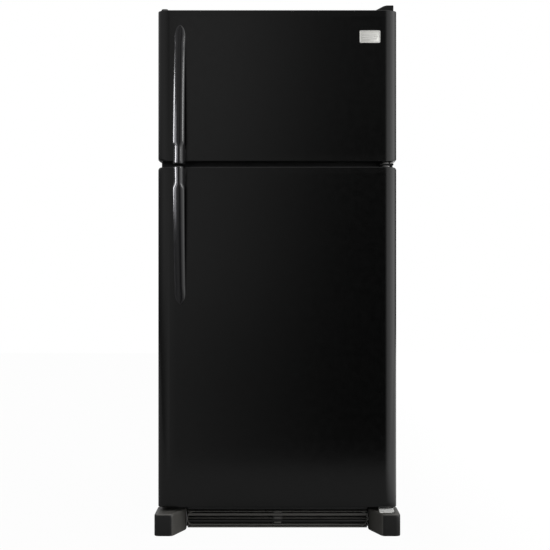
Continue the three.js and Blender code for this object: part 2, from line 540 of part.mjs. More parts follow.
// ---- fresh-food door
{
  const [z0, z1] = FRIDGE_Z, a = z0 + CAP + GAP, b = z1 - CAP - GAP;
  node(fridgeDoor, 'fridge_door_panel', doorPanel(a, b), M.doorBlack);
  node(fridgeDoor, 'fridge_door_foam', doorFoam(a, b), M.foam);
  node(fridgeDoor, 'fridge_door_liner', doorLiner(a, b, 127, 1123), M.liner);
  node(fridgeDoor, 'fridge_door_cap_top', doorCap(z1 - CAP, z1, 1144, z1 + 5), M.trimBlack);
  node(fridgeDoor, 'fridge_door_cap_bottom', doorCap(z0, z0 + CAP, z0 - 5, 97.5), M.trimBlack);
  node(fridgeDoor, 'fridge_door_gasket', gasket(92, 1157), M.gasket);
  node(fridgeDoor, 'fridge_handle', handle(FRIDGE_HANDLE_Z[1], FRIDGE_HANDLE_Z[0]), M.handleBlack);
  node(fridgeDoor, 'fridge_door_bin_lower', bin(335, 455), M.clear);
  node(fridgeDoor, 'fridge_door_bin_upper', bin(650, 740), M.clear);
  // dairy compartment, open towards the cabinet, and its flap hung from the top edge
  node(fridgeDoor, 'dairy_compartment', cut(block(-276, 20, 60, 157, 990, 1100), block(-273, 17, 63, 170, 993, 1097)), M.clear);
  node(fridgeDoor, 'dairy_flap', join(block(-275, 19, -1.5, 1.5, -98, 1.5), block(-145, -111, 0, 9, -96, -91)), M.clear, [0, 159.5, 1094]);
}

fridge.name = 'top_freezer_refrigerator';
export default fridge;
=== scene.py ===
# Looks of the top freezer refrigerator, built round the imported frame.
# Shapes are written in millimetres as (x, t, z): x to the right, t the depth
# behind the doors' front face, z up; P() turns them into the row frame in metres.
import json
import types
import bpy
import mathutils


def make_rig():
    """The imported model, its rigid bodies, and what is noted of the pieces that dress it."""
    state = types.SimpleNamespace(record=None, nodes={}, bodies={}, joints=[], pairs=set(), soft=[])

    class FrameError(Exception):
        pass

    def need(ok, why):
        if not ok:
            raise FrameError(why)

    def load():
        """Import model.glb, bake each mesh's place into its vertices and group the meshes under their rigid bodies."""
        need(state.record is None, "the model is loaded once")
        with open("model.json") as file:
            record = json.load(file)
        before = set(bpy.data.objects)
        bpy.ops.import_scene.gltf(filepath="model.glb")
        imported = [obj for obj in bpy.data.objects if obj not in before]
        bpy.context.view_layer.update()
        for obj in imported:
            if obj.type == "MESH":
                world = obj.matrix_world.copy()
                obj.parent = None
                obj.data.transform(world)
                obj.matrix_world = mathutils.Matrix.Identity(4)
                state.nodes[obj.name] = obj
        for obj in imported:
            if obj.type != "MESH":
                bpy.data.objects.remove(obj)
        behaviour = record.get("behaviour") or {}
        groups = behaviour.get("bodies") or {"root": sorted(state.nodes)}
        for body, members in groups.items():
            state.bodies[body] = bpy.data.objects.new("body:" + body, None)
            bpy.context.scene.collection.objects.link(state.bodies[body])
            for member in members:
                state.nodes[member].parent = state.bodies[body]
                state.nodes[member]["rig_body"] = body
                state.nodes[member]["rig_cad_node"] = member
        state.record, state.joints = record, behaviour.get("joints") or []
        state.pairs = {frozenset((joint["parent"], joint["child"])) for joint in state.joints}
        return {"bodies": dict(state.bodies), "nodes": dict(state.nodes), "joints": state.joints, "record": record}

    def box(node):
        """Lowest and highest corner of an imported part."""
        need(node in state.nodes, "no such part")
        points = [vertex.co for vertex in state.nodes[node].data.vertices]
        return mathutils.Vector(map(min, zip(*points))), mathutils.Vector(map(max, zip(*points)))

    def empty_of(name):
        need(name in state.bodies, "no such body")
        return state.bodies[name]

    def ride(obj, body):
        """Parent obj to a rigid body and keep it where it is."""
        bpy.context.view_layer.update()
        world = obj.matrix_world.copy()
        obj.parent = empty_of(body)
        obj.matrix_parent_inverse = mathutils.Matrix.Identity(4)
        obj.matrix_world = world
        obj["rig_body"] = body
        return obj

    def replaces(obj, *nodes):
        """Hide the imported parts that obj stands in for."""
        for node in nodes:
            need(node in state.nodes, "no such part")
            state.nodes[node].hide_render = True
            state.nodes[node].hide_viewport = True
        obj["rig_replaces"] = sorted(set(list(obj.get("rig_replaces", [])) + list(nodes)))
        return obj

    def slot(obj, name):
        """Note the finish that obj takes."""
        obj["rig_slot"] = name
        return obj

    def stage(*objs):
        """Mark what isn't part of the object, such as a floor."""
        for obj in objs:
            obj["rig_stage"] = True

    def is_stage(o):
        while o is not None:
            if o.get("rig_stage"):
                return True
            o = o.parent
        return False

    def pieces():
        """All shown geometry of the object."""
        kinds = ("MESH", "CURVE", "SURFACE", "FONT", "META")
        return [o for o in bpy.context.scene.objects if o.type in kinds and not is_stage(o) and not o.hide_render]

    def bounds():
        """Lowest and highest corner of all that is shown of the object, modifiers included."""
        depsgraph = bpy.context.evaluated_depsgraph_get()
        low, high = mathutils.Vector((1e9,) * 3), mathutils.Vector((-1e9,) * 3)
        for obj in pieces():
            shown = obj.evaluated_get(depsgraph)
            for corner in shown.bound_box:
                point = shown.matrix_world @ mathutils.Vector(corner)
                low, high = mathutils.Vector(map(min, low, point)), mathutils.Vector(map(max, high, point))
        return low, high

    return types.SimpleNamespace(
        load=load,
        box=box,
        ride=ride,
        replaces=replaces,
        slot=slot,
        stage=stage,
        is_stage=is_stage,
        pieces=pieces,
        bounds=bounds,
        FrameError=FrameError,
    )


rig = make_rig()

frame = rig.load()
CAD_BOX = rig.bounds()

import json
import math
from math import sin, cos, pi, radians, sqrt

import bmesh
import bpy
from mathutils import Matrix, Vector

MM = 0.001
FY = float(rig.box("freezer_door_panel")[0][1]) * 1000   # the doors' front face


def P(x, t, z):
    return Vector((x * MM, (t + FY) * MM, z * MM))


# ------------------------------------------------------------------ geometry
class Geo:
    """Vertices in millimetres, faces, and a material index for each face."""

    def __init__(self):
        self.v, self.f, self.m = [], [], []

    def add(self, part, mi=0):
        verts, faces = part
        o = len(self.v)
        self.v += [tuple(p) for p in verts]
        self.f += [[i + o for i in f] for f in faces]
        self.m += [mi] * len(faces)
        return self


def moved(part, dx=0, dt=0, dz=0):
    return [(x + dx, t + dt, z + dz) for x, t, z in part[0]], part[1]


def merged(*parts):
    g = Geo()
    for p in parts:
        g.add(p)
    return g.v, g.f


def loft(rings, cap0=True, cap1=True, closed=True, loop=False):
    n = len(rings[0])
    verts = [p for r in rings for p in r]
    faces = []
    m = len(rings)
    for i in range(m if loop else m - 1):
        a, b = i * n, ((i + 1) % m) * n
        for j in range(n if closed else n - 1):
            k = (j + 1) % n
            faces.append([a + j, a + k, b + k, b + j])
    if not loop:
        if cap0:
            faces.append(list(range(n))[::-1])
        if cap1:
            faces.append([(m - 1) * n + j for j in range(n)])
    return verts, faces


def rrect(a0, a1, b0, b1, r, n=5):
    r = max(0.01, min(r, (a1 - a0) / 2 - 0.01, (b1 - b0) / 2 - 0.01))
    out = []
    for ca, cb, s in ((a1 - r, b1 - r, 0), (a0 + r, b1 - r, 90), (a0 + r, b0 + r, 180), (a1 - r, b0 + r, 270)):
        for i in range(n + 1):
            u = radians(s + 90 * i / n)
            out.append((ca + r * cos(u), cb + r * sin(u)))
    return out


def from_bm(bm):
    bm.verts.index_update()
    v = [tuple(x.co) for x in bm.verts]
    f = [[x.index for x in face.verts] for face in bm.faces]
    bm.free()
    return v, f


def bevel_bm(bm, r, seg, angle=30):
    if r <= 0:
        return
    edges = [e for e in bm.edges if len(e.link_faces) == 2 and e.calc_face_angle(0) > radians(angle)]
    bmesh.ops.bevel(bm, geom=edges, offset=r, segments=seg, profile=0.5, affect="EDGES", clamp_overlap=True)


def rbox(x0, x1, t0, t1, z0, z1, r=1.0, seg=2):
    bm = bmesh.new()
    bmesh.ops.create_cube(bm, size=1)
    for v in bm.verts:
        v.co = Vector(((x0 + x1) / 2 + v.co.x * (x1 - x0), (t0 + t1) / 2 + v.co.y * (t1 - t0), (z0 + z1) / 2 + v.co.z * (z1 - z0)))
    bevel_bm(bm, min(r, 0.49 * min(x1 - x0, t1 - t0, z1 - z0)), seg)
    return from_bm(bm)


def prism(poly, axis, c0, c1, r=0.0, seg=2, angle=30):
    """A 2-D outline drawn along an axis: x -> (t, z), t -> (x, z), z -> (x, t)."""
    def at(a, b, c):
        return {"x": (c, a, b), "t": (a, c, b), "z": (a, b, c)}[axis]
    bm = bmesh.new()
    lo = [bm.verts.new(at(a, b, c0)) for a, b in poly]
    hi = [bm.verts.new(at(a, b, c1)) for a, b in poly]
    n = len(poly)
    bm.faces.new(lo[::-1])
    bm.faces.new(hi)
    for i in range(n):
        j = (i + 1) % n
        bm.faces.new((lo[i], lo[j], hi[j], hi[i]))
    bmesh.ops.recalc_face_normals(bm, faces=bm.faces[:])
    bevel_bm(bm, r, seg, angle)
    return from_bm(bm)


def lathe(profile, axis, u, v, n=32, phase=0.0, su=1.0, sv=1.0):
    """profile is (radius, height) from axis to axis, turned round an axis through (u, v)."""
    rings = []
    for r, h in profile:
        ring = []
        for i in range(n):
            a = 2 * pi * i / n + phase
            p, q = u + su * max(r, 0.001) * cos(a), v + sv * max(r, 0.001) * sin(a)
            ring.append({"x": (h, p, q), "t": (p, h, q), "z": (p, q, h)}[axis])
        rings.append(ring)
    return loft(rings)


def cyl(axis, u, v, a0, a1, r, n=28, b=0.4):
    b = min(b, r * 0.45, (a1 - a0) * 0.45)
    return lathe([(r - b, a0), (r - b * 0.3, a0 + b * 0.3), (r, a0 + b), (r, a1 - b), (r - b * 0.3, a1 - b * 0.3), (r - b, a1)], axis, u, v, n)


def smooth_path(points, step):
    """Catmull-Rom points about step apart."""
    pts = [Vector(p) for p in points]
    out = []
    for i in range(len(pts) - 1):
        p0, p1, p2, p3 = pts[max(i - 1, 0)], pts[i], pts[i + 1], pts[min(i + 2, len(pts) - 1)]
        k = max(1, int((p2 - p1).length / step))
        for j in range(k):
            s = j / k
            out.append(0.5 * ((2 * p1) + (p2 - p0) * s + (2 * p0 - 5 * p1 + 4 * p2 - p3) * s * s + (3 * p1 - p0 - 3 * p2 + p3) * s ** 3))
    out.append(pts[-1])
    return out


def sweep(path, r, n=12, loop=False):
    path = [Vector(p) for p in path]
    m = len(path)
    def tan(i):
        if loop:
            return (path[(i + 1) % m] - path[i - 1]).normalized()
        return (path[min(i + 1, m - 1)] - path[max(i - 1, 0)]).normalized()
    t = tan(0)
    ref = Vector((0, 0, 1)) if abs(t.z) < 0.9 else Vector((1, 0, 0))
    u = t.cross(ref).normalized()
    rings = []
    for i in range(m):
        t2 = tan(i)
        u = (u - t2 * u.dot(t2)).normalized()
        w = t2.cross(u)
        rings.append([tuple(path[i] + (u * cos(2 * pi * k / n) + w * sin(2 * pi * k / n)) * (r(i / (m - 1)) if callable(r) else r)) for k in range(n)])
    return loft(rings, loop=loop)


def bent_wire(points, radius, r, n=10, seg=5):
    """A tube through corners that are rounded to a bend radius."""
    pts = [Vector(p) for p in points]
    path = [pts[0]]
    for a, b, c in zip(pts, pts[1:], pts[2:]):
        u, w = (a - b).normalized(), (c - b).normalized()
        ang = u.angle(w)
        d = min(radius / max(math.tan(ang / 2), 1e-6), (a - b).length * 0.49, (c - b).length * 0.49)
        for i in range(seg + 1):
            s = i / seg
            path.append((b + u * d) * (1 - s) ** 2 + b * 2 * s * (1 - s) + (b + w * d) * s * s)
    path.append(pts[-1])
    return sweep(path, r, n)


def frame_sweep(x0, x1, z0, z1, rc, profile, n=8):
    """A profile of (outward offset, t) carried round a rounded rectangle in x and z."""
    base = []
    for cx, cz, s in ((x1 - rc, z1 - rc, 0), (x0 + rc, z1 - rc, 90), (x0 + rc, z0 + rc, 180), (x1 - rc, z0 + rc, 270)):
        for i in range(n + 1):
            u = radians(s + 90 * i / n)
            base.append((cx + rc * cos(u), cz + rc * sin(u), cos(u), sin(u)))
    rings = [[(x + nx * o, t, z + nz * o) for o, t in profile] for x, z, nx, nz in base]
    return loft(rings, loop=True)


def tray(x0, x1, t0, t1, z0, z1, r=12, draft=3, wall=2.4, lip=0, rb=6, n=6):
    """An open tray with rounded corners, a rounded bottom edge and a rolled lip."""
    def ring(inset, z, rr):
        return [(a, b, z) for a, b in rrect(x0 + inset, x1 - inset, t0 + inset, t1 - inset, max(rr - inset, 1.2), n)]
    h = z1 - z0
    rings = []
    for k in range(5):
        a = k / 4 * pi / 2
        rings.append(ring(draft + rb * (1 - sin(a)), z0 + rb * (1 - cos(a)), r))
    rings.append(ring(draft * 0.4, z0 + h * 0.6, r))
    rings.append(ring(lip, z1 - 6, r))
    if lip:
        rings.append(ring(0, z1 - 5, r))
    rings.append(ring(0, z1 - 1, r))
    rings.append(ring(0.5, z1, r))
    rings.append(ring(wall + lip - 0.5, z1, r))
    rings.append(ring(wall + lip, z1 - 1, r))
    rings.append(ring(draft * 0.4 + wall, z0 + h * 0.6, r))
    for k in range(4, -1, -1):
        a = k / 4 * pi / 2
        rings.append(ring(draft + wall + rb * (1 - sin(a)), z0 + wall + rb * (1 - cos(a)), r))
    return loft(rings)


def boolean(a, b, op="DIFFERENCE"):
    """Cut or join two parts and return the result as a part."""
    obs = []
    for part in (a, b):
        me = bpy.data.meshes.new("tmp")
        me.from_pydata([tuple(p) for p in part[0]], [], part[1])
        bm = bmesh.new()
        bm.from_mesh(me)
        bmesh.ops.recalc_face_normals(bm, faces=bm.faces[:])
        bm.to_mesh(me)
        bm.free()
        ob = bpy.data.objects.new("tmp", me)
        bpy.context.scene.collection.objects.link(ob)
        obs.append(ob)
    mod = obs[0].modifiers.new("b", "BOOLEAN")
    mod.operation, mod.object, mod.solver = op, obs[1], "EXACT"
    bpy.context.view_layer.update()
    res = bpy.data.meshes.new_from_object(obs[0].evaluated_get(bpy.context.evaluated_depsgraph_get()))
    out = [tuple(v.co) for v in res.vertices], [list(p.vertices) for p in res.polygons]
    for ob in obs:
        me = ob.data
        bpy.data.objects.remove(ob)
        bpy.data.meshes.remove(me)
    bpy.data.meshes.remove(res)
    return out


def make(name, geo, mats, body, stands_for=(), slot=None, angle=38):
    if isinstance(geo, tuple):
        geo = Geo().add(geo)
    me = bpy.data.meshes.new(name)
    me.from_pydata([((x) * MM, (t + FY) * MM, z * MM) for x, t, z in geo.v], [], geo.f)
    for m in (mats if isinstance(mats, (list, tuple)) else [mats]):
        me.materials.append(m)
    me.polygons.foreach_set("material_index", geo.m)
    bm = bmesh.new()
    bm.from_mesh(me)
    bmesh.ops.recalc_face_normals(bm, faces=bm.faces[:])
    bmesh.ops.dissolve_degenerate(bm, dist=1e-7, edges=bm.edges[:])
    bm.to_mesh(me)
    bm.free()
    me.polygons.foreach_set("use_smooth", [True] * len(me.polygons))
    me.set_sharp_from_angle(angle=radians(angle))
    ob = bpy.data.objects.new(name, me)
    bpy.context.scene.collection.objects.link(ob)
    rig.ride(ob, body)
    if stands_for:
        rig.replaces(ob, *stands_for)
    if slot:
        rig.slot(ob, slot)
    return ob


# ------------------------------------------------------------------ materials
def new_mat(name):
    m = bpy.data.materials.new(name)
    m.use_nodes = True
    nt = m.node_tree
    b = nt.nodes["Principled BSDF"]
    tc = nt.nodes.new("ShaderNodeTexCoord")
    return m, nt, b, tc


def noise(nt, tc, scale, detail=3.0, rough=0.5, stretch=None):
    n = nt.nodes.new("ShaderNodeTexNoise")
    n.inputs["Scale"].default_value = scale
    n.inputs["Detail"].default_value = detail
    n.inputs["Roughness"].default_value = rough
    if stretch:
        mp = nt.nodes.new("ShaderNodeMapping")
        mp.inputs["Scale"].default_value = stretch
        nt.links.new(tc.outputs["Object"], mp.inputs["Vector"])
        nt.links.new(mp.outputs["Vector"], n.inputs["Vector"])
    else:
        nt.links.new(tc.outputs["Object"], n.inputs["Vector"])
    return n


def spread(nt, src, lo, hi, a=0.3, b=0.7):
    r = nt.nodes.new("ShaderNodeMapRange")
    r.inputs["From Min"].default_value = a
    r.inputs["From Max"].default_value = b
    r.inputs["To Min"].default_value = lo
    r.inputs["To Max"].default_value = hi
    nt.links.new(src, r.inputs["Value"])
    return r.outputs["Result"]


def tint(nt, src, c0, c1, a=0.3, b=0.7):
    r = nt.nodes.new("ShaderNodeValToRGB")
    r.color_ramp.elements[0].position = a
    r.color_ramp.elements[1].position = b
    r.color_ramp.elements[0].color = (*c0, 1)
    r.color_ramp.elements[1].color = (*c1, 1)
    nt.links.new(src, r.inputs["Fac"])
    return r.outputs["Color"]


def bump(nt, b, height, strength, distance, chain=None):
    n = nt.nodes.new("ShaderNodeBump")
    n.inputs["Strength"].default_value = strength
    n.inputs["Distance"].default_value = distance
    nt.links.new(height, n.inputs["Height"])
    if chain is not None:
        nt.links.new(chain, n.inputs["Normal"])
    nt.links.new(n.outputs["Normal"], b.inputs["Normal"])
    return n.outputs["Normal"]


def surface(name, color, rough, metal=0.0, var=0.12, rvar=0.05, grain=1500, gs=0.15, gd=0.00006, peel=None, spec=0.5, coat=0.0, coat_rough=0.1, stretch=None, vscale=9):
    """General finish: colour and roughness drift, a fine grain and an optional broader peel."""
    m, nt, b, tc = new_mat(name)
    n1 = noise(nt, tc, vscale, 4)
    c0 = tuple(c * (1 - var) for c in color)
    c1 = tuple(min(1, c * (1 + var)) for c in color)
    nt.links.new(tint(nt, n1.outputs["Fac"], c0, c1), b.inputs["Base Color"])
    n2 = noise(nt, tc, 45, 5, 0.6, stretch)
    nt.links.new(spread(nt, n2.outputs["Fac"], max(0.02, rough - rvar), rough + rvar), b.inputs["Roughness"])
    b.inputs["Metallic"].default_value = metal
    b.inputs["Specular IOR Level"].default_value = spec
    b.inputs["Coat Weight"].default_value = coat
    b.inputs["Coat Roughness"].default_value = coat_rough
    n3 = noise(nt, tc, grain, 2, 0.5, stretch)
    ch = None
    if peel:
        n4 = noise(nt, tc, peel[0], 1.5)
        ch = bump(nt, b, n4.outputs["Fac"], peel[1], peel[2])
    bump(nt, b, n3.outputs["Fac"], gs, gd, ch)
    return m


def pebbled(name, color, rough):
    """Sprayed texture enamel: small soft pebbles."""
    m, nt, b, tc = new_mat(name)
    v = nt.nodes.new("ShaderNodeTexVoronoi")
    v.feature = "SMOOTH_F1"
    v.inputs["Scale"].default_value = 420
    v.inputs["Smoothness"].default_value = 0.6
    n = noise(nt, tc, 260, 3)
    nt.links.new(tc.outputs["Object"], v.inputs["Vector"])
    n1 = noise(nt, tc, 7, 4)
    nt.links.new(tint(nt, n1.outputs["Fac"], tuple(c * 0.85 for c in color), tuple(c * 1.15 for c in color)), b.inputs["Base Color"])
    nt.links.new(spread(nt, n.outputs["Fac"], rough - 0.07, rough + 0.07), b.inputs["Roughness"])
    ch = bump(nt, b, v.outputs["Distance"], 0.35, 0.00025)
    bump(nt, b, n.outputs["Fac"], 0.3, 0.0002, ch)
    return m


def spangled(name, color, rough):
    """Zinc-coated sheet with its crystal spangle."""
    m, nt, b, tc = new_mat(name)
    v = nt.nodes.new("ShaderNodeTexVoronoi")
    v.inputs["Scale"].default_value = 120
    nt.links.new(tc.outputs["Object"], v.inputs["Vector"])
    sep = nt.nodes.new("ShaderNodeSeparateColor")
    nt.links.new(v.outputs["Color"], sep.inputs["Color"])
    nt.links.new(tint(nt, sep.outputs["Red"], tuple(c * 0.82 for c in color), tuple(min(1, c * 1.12) for c in color), 0, 1), b.inputs["Base Color"])
    nt.links.new(spread(nt, sep.outputs["Green"], rough - 0.1, rough + 0.1, 0, 1), b.inputs["Roughness"])
    b.inputs["Metallic"].default_value = 0.85
    n = noise(nt, tc, 600, 3)
    bump(nt, b, n.outputs["Fac"], 0.12, 0.0001)
    return m


def clear(name, color, rough, trans=0.92, ior=1.49, alpha=1.0):
    """Clear moulded plastic or glass, with faint flow marks."""
    m, nt, b, tc = new_mat(name)
    n1 = noise(nt, tc, 14, 3)
    nt.links.new(tint(nt, n1.outputs["Fac"], tuple(c * 0.96 for c in color), color), b.inputs["Base Color"])
    n2 = noise(nt, tc, 60, 4)
    nt.links.new(spread(nt, n2.outputs["Fac"], rough * 0.7, rough * 1.3), b.inputs["Roughness"])
    b.inputs["Transmission Weight"].default_value = trans
    b.inputs["IOR"].default_value = ior
    b.inputs["Alpha"].default_value = alpha
    n3 = noise(nt, tc, 90, 2)
    bump(nt, b, n3.outputs["Fac"], 0.08, 0.0002)
    return m


DOOR = surface("door_enamel", (0.0016, 0.0017, 0.00165), 0.17, var=0.1, rvar=0.02, grain=1300, gs=0.05, gd=0.00002, peel=(160, 0.05, 0.00004), coat=0.0)
CABINET = pebbled("cabinet_enamel", (0.009, 0.0095, 0.0095), 0.42)
TRIM = surface("trim_plastic", (0.0038, 0.0039, 0.0040), 0.30, grain=1800, gs=0.1, gd=0.00003)
CAP = surface("cap_plastic", (0.0017, 0.0018, 0.00175), 0.19, var=0.1, rvar=0.02, grain=1300, gs=0.05, gd=0.00002, peel=(160, 0.05, 0.00004))
GLOSS = surface("handle_plastic", (0.0035, 0.0035, 0.0038), 0.19, var=0.15, rvar=0.03, grain=300, gs=0.02, gd=0.00004)
GRILLE = surface("grille_plastic", (0.010, 0.010, 0.0095), 0.36, grain=1800, gs=0.2, gd=0.00008)
# painted light: a lighter copy of the foot plastic for the boots' top and inner faces
FOOT_PAINTED_LIT = surface("foot_plastic", (0.075, 0.073, 0.067), 0.42, grain=1300, gs=0.35, gd=0.0001)
GASKET = surface("gasket_vinyl", (0.012, 0.012, 0.012), 0.62, grain=900, gs=0.2, gd=0.0001)
LINER = surface("liner_plastic", (0.74, 0.76, 0.755), 0.24, var=0.015, rvar=0.04, grain=700, gs=0.06, gd=0.0001, peel=(60, 0.05, 0.0004))
WHITE = surface("white_plastic", (0.68, 0.69, 0.685), 0.38, var=0.02, grain=1600, gs=0.15, gd=0.00008)
GREY = surface("grey_plastic", (0.26, 0.275, 0.285), 0.42, var=0.05, grain=1600, gs=0.2, gd=0.00008)
ZINC = surface("zinc_plate", (0.46, 0.46, 0.44), 0.34, metal=0.9, var=0.1, rvar=0.1, grain=500, gs=0.15, gd=0.0001)
BADGE = surface("badge_plate", (0.60, 0.595, 0.565), 0.36, metal=0.25, var=0.02, rvar=0.03, grain=900, gs=0.03, gd=0.00002, stretch=(1, 1, 12))
BADGE_RIM = surface("badge_rim", (0.72, 0.715, 0.69), 0.28, metal=0.3, var=0.02, rvar=0.03, grain=900, gs=0.03, gd=0.00002)
GALV = spangled("galvanised_sheet", (0.42, 0.43, 0.435), 0.4)
COMP = surface("compressor_enamel", (0.008, 0.008, 0.0085), 0.3, var=0.2, grain=500, gs=0.12, gd=0.0002)
COPPER = surface("copper_tube", (0.5, 0.2, 0.11), 0.32, metal=1.0, var=0.2, rvar=0.1, grain=400)
BLACK_TUBE = surface("coil_enamel", (0.012, 0.012, 0.0125), 0.38, var=0.2, grain=700, gs=0.2, gd=0.0001)
ALU = surface("coil_aluminium", (0.6, 0.62, 0.63), 0.33, metal=0.95, var=0.06, rvar=0.08, grain=500, stretch=(1, 1, 30))
WIRE = surface("wire_vinyl", (0.70, 0.71, 0.70), 0.33, var=0.02, grain=800)
RUBBER = surface("roller_rubber", (0.014, 0.014, 0.014), 0.7, var=0.25, grain=700, gs=0.4, gd=0.0003)
CLEAR = clear("clear_plastic", (0.9, 0.95, 0.955), 0.07, 0.9, 1.45)
FROST = clear("frosted_plastic", (0.86, 0.9, 0.91), 0.32, 0.85, 1.4)
GLASS = clear("shelf_glass", (0.86, 0.945, 0.92), 0.02, 0.96, 1.45)
LENS = clear("lens_plastic", (0.93, 0.93, 0.9), 0.25, 0.8, 1.4)
FOAM = surface("foam", (0.72, 0.55, 0.25), 0.9, grain=400, gs=0.6, gd=0.0006)
# near-black: the badge's own gasket, and painted shade in the screw slots and on the sheet behind the grille louvres
GASKET_AND_PAINTED_SHADE = surface("black_gasket_and_painted_recess_shade", (0.0012, 0.0012, 0.0012), 0.7, grain=600)


def keep(node, mat, r=0.8, seg=2, weld=True):
    """A CAD node that stays, with softened edges and a real finish."""
    o = frame["nodes"][node]
    o.data.materials.clear()
    o.data.materials.append(mat)
    w = o.modifiers.new("weld", "WELD")
    w.merge_threshold = 1e-5
    d = o.modifiers.new("planar", "DECIMATE")
    d.decimate_type = "DISSOLVE"
    d.angle_limit = radians(1)
    if r:
        b = o.modifiers.new("edges", "BEVEL")
        b.width, b.segments, b.limit_method, b.angle_limit = r * MM, seg, "ANGLE", radians(32)
        b.use_clamp_overlap = True
        b.harden_normals = False
    return o


def screw(axis, u, v, a, d, r=4.2, h=2.2):
    """Pan-head screw on a face at a, standing out by h in the direction d."""
    prof = [(0, a), (r, a), (r, a + d * h * 0.35), (r * 0.86, a + d * h * 0.75), (r * 0.55, a + d * h), (0, a + d * h)]
    head = lathe(prof, axis, u, v, 20)
    # the slot is a thin dark cross laid on the head: painted shade for the slot's recess
    s = r * 0.62
    def b(du, dv):
        lo, hi = sorted((a + d * h * 0.96, a + d * (h + 0.12)))
        return {"x": (lo, hi, u - du, u + du, v - dv, v + dv), "t": (u - du, u + du, lo, hi, v - dv, v + dv), "z": (u - du, u + du, v - dv, v + dv, lo, hi)}[axis]
    return head, merged(rbox(*b(s, 0.45), r=0), rbox(*b(0.45, s), r=0))

# ================================================================ doors
HALF, DEPTH, SKIN = float(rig.box("fridge_door_panel")[1][0]) * 1000, 58.0, 1.5
EA, EB = 40.0, 26.0


def door_section(inset=0.0):
    """Half outline of the bent door sheet seen from above: (x, t) from the middle of the
    front round the rolled edge to the back flange."""
    pts = [(0.0, inset), (150.0, inset), (260.0, inset), (320.0, inset)]
    for i in range(0, 17):
        a = pi / 2 * i / 16
        pts.append((HALF - EA + (EA - inset) * sin(a), EB - (EB - inset) * cos(a)))
    pts += [(HALF - inset, 40.0), (HALF - inset, DEPTH - 6)]
    for i in range(1, 5):
        a = pi / 2 * i / 4
        pts.append((HALF - 5 + (5 - inset) * cos(a), DEPTH - 5 + (5 - inset) * sin(a)))
    pts.append((HALF - 16.0, DEPTH - inset))
    return pts


def mirrored(half):
    """Whole open outline from the left back flange to the right back flange."""
    return [(-x, t) for x, t in half[:0:-1]] + half


def door_skin(z0, z1):
    """Painted sheet: an open wrap, its ends turned back into the caps."""
    out = mirrored(door_section(0.0))
    inn = mirrored(door_section(SKIN))
    ring = out + inn[::-1]
    zs = [z0, z0 + 0.35]
    k = 12
    zs += [z0 + 0.35 + (z1 - z0 - 0.7) * i / k for i in range(1, k)]
    zs += [z1 - 0.35, z1]
    rings = []
    for i, z in enumerate(zs):
        rings.append([(x, t, z) for x, t in out + inn[::-1]])
    return loft(rings)


def cap_outline(s, corner):
    """Closed outline of an end cap pushed in by s from the door's outline."""
    half = [(0.0, s), (150.0, s), (260.0, s), (320.0, s)]
    for i in range(0, 17):
        a = pi / 2 * i / 16
        half.append((HALF - EA + (EA - s) * sin(a), EB - (EB - s) * cos(a)))
    half += [(HALF - s, 40.0), (HALF - s, DEPTH - 6)]
    for i in range(1, 5):
        a = pi / 2 * i / 4
        half.append((HALF - 5 + (5 - s) * cos(a), DEPTH - 5 + (5 - s) * sin(a)))
    full = [(-x, t) for x, t in half[:0:-1]] + half
    return full


def end_cap(zi, zo, r_side, r_front):
    """Moulded end cap from the sheet (zi) out to the door's end (zo). The ends of the
    front view are rounded by r_side and the front and back edges by r_front."""
    d = 1 if zo > zi else -1
    h = abs(zo - zi)
    rings = []
    steps = [0.0, 0.25]
    k = 9
    def side_in(y):        # inset of the x ends at a height y above zi
        e = h - y
        return r_side - sqrt(max(0.0, r_side ** 2 - (r_side - e) ** 2)) if e < r_side else 0.0
    def front_in(y):
        e = h - y
        return r_front - sqrt(max(0.0, r_front ** 2 - (r_front - e) ** 2)) if e < r_front else 0.0
    ys = [0.0, 0.5, max(1.0, h - r_side)]
    for i in range(1, k + 1):
        ys.append(h - r_side * (1 - sin(pi / 2 * i / k)))
    ys = sorted(set([round(y, 4) for y in ys if 0 <= y <= h] + [round(h - r_front * (1 - sin(pi / 2 * i / 4)), 4) for i in range(0, 5)]))
    for y in ys:
        a, b = side_in(y), front_in(y)
        s0 = 0.05
        ring = []
        for x, t in cap_outline(0, 0):
            u = min(1.0, max(0.0, (abs(x) - (HALF - EA)) / EA))       # 0 on the front, 1 at the side
            sx = (x - (a + s0) * (1 if x > 0 else -1) * 1.0 * u) if abs(x) > 1 else x
            v = 1 - min(1.0, t / EB) if t < EB else 0.0
            tt = t + (b + s0) * v
            if t > DEPTH - 6:
                tt = t - b * (t - (DEPTH - 6)) / 6
            ring.append((sx, tt, zi + d * y))
        rings.append(ring)
    return loft(rings)


# Hinge recesses in the gap caps: a round relief round each hinge pin
def scallop(z0, z1, r):
    return cyl("z", 348.0, 30.0, z0, z1, r, 36, 0.3)


FZ0, FZ1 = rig.box("freezer_door_cap_bottom")[0][2] * 1000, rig.box("freezer_door_cap_top")[1][2] * 1000
RZ0, RZ1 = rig.box("fridge_door_cap_bottom")[0][2] * 1000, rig.box("fridge_door_cap_top")[1][2] * 1000
PF0, PF1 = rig.box("freezer_door_panel")[0][2] * 1000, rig.box("freezer_door_panel")[1][2] * 1000
PR0, PR1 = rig.box("fridge_door_panel")[0][2] * 1000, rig.box("fridge_door_panel")[1][2] * 1000

make("freezer_door_skin", door_skin(PF0, PF1), DOOR, "freezer_door", ["freezer_door_panel"], "door_paint", 30)
make("fridge_door_skin", door_skin(PR0, PR1), DOOR, "fridge_door", ["fridge_door_panel"], "door_paint", 30)


def gap_cap(zi, zo):
    c = end_cap(zi, zo, 9.0, 2.2)
    d = 1 if zo > zi else -1
    lo, hi = sorted((zo - d * 2.6, zo + d * 6))
    c = boolean(c, scallop(lo, hi, 13.5))
    h0, h1 = sorted((zo - d * 17, zo + d * 6))
    return boolean(c, cyl("z", 348.0, 30.0, h0, h1, 5.5, 28, 0.2))


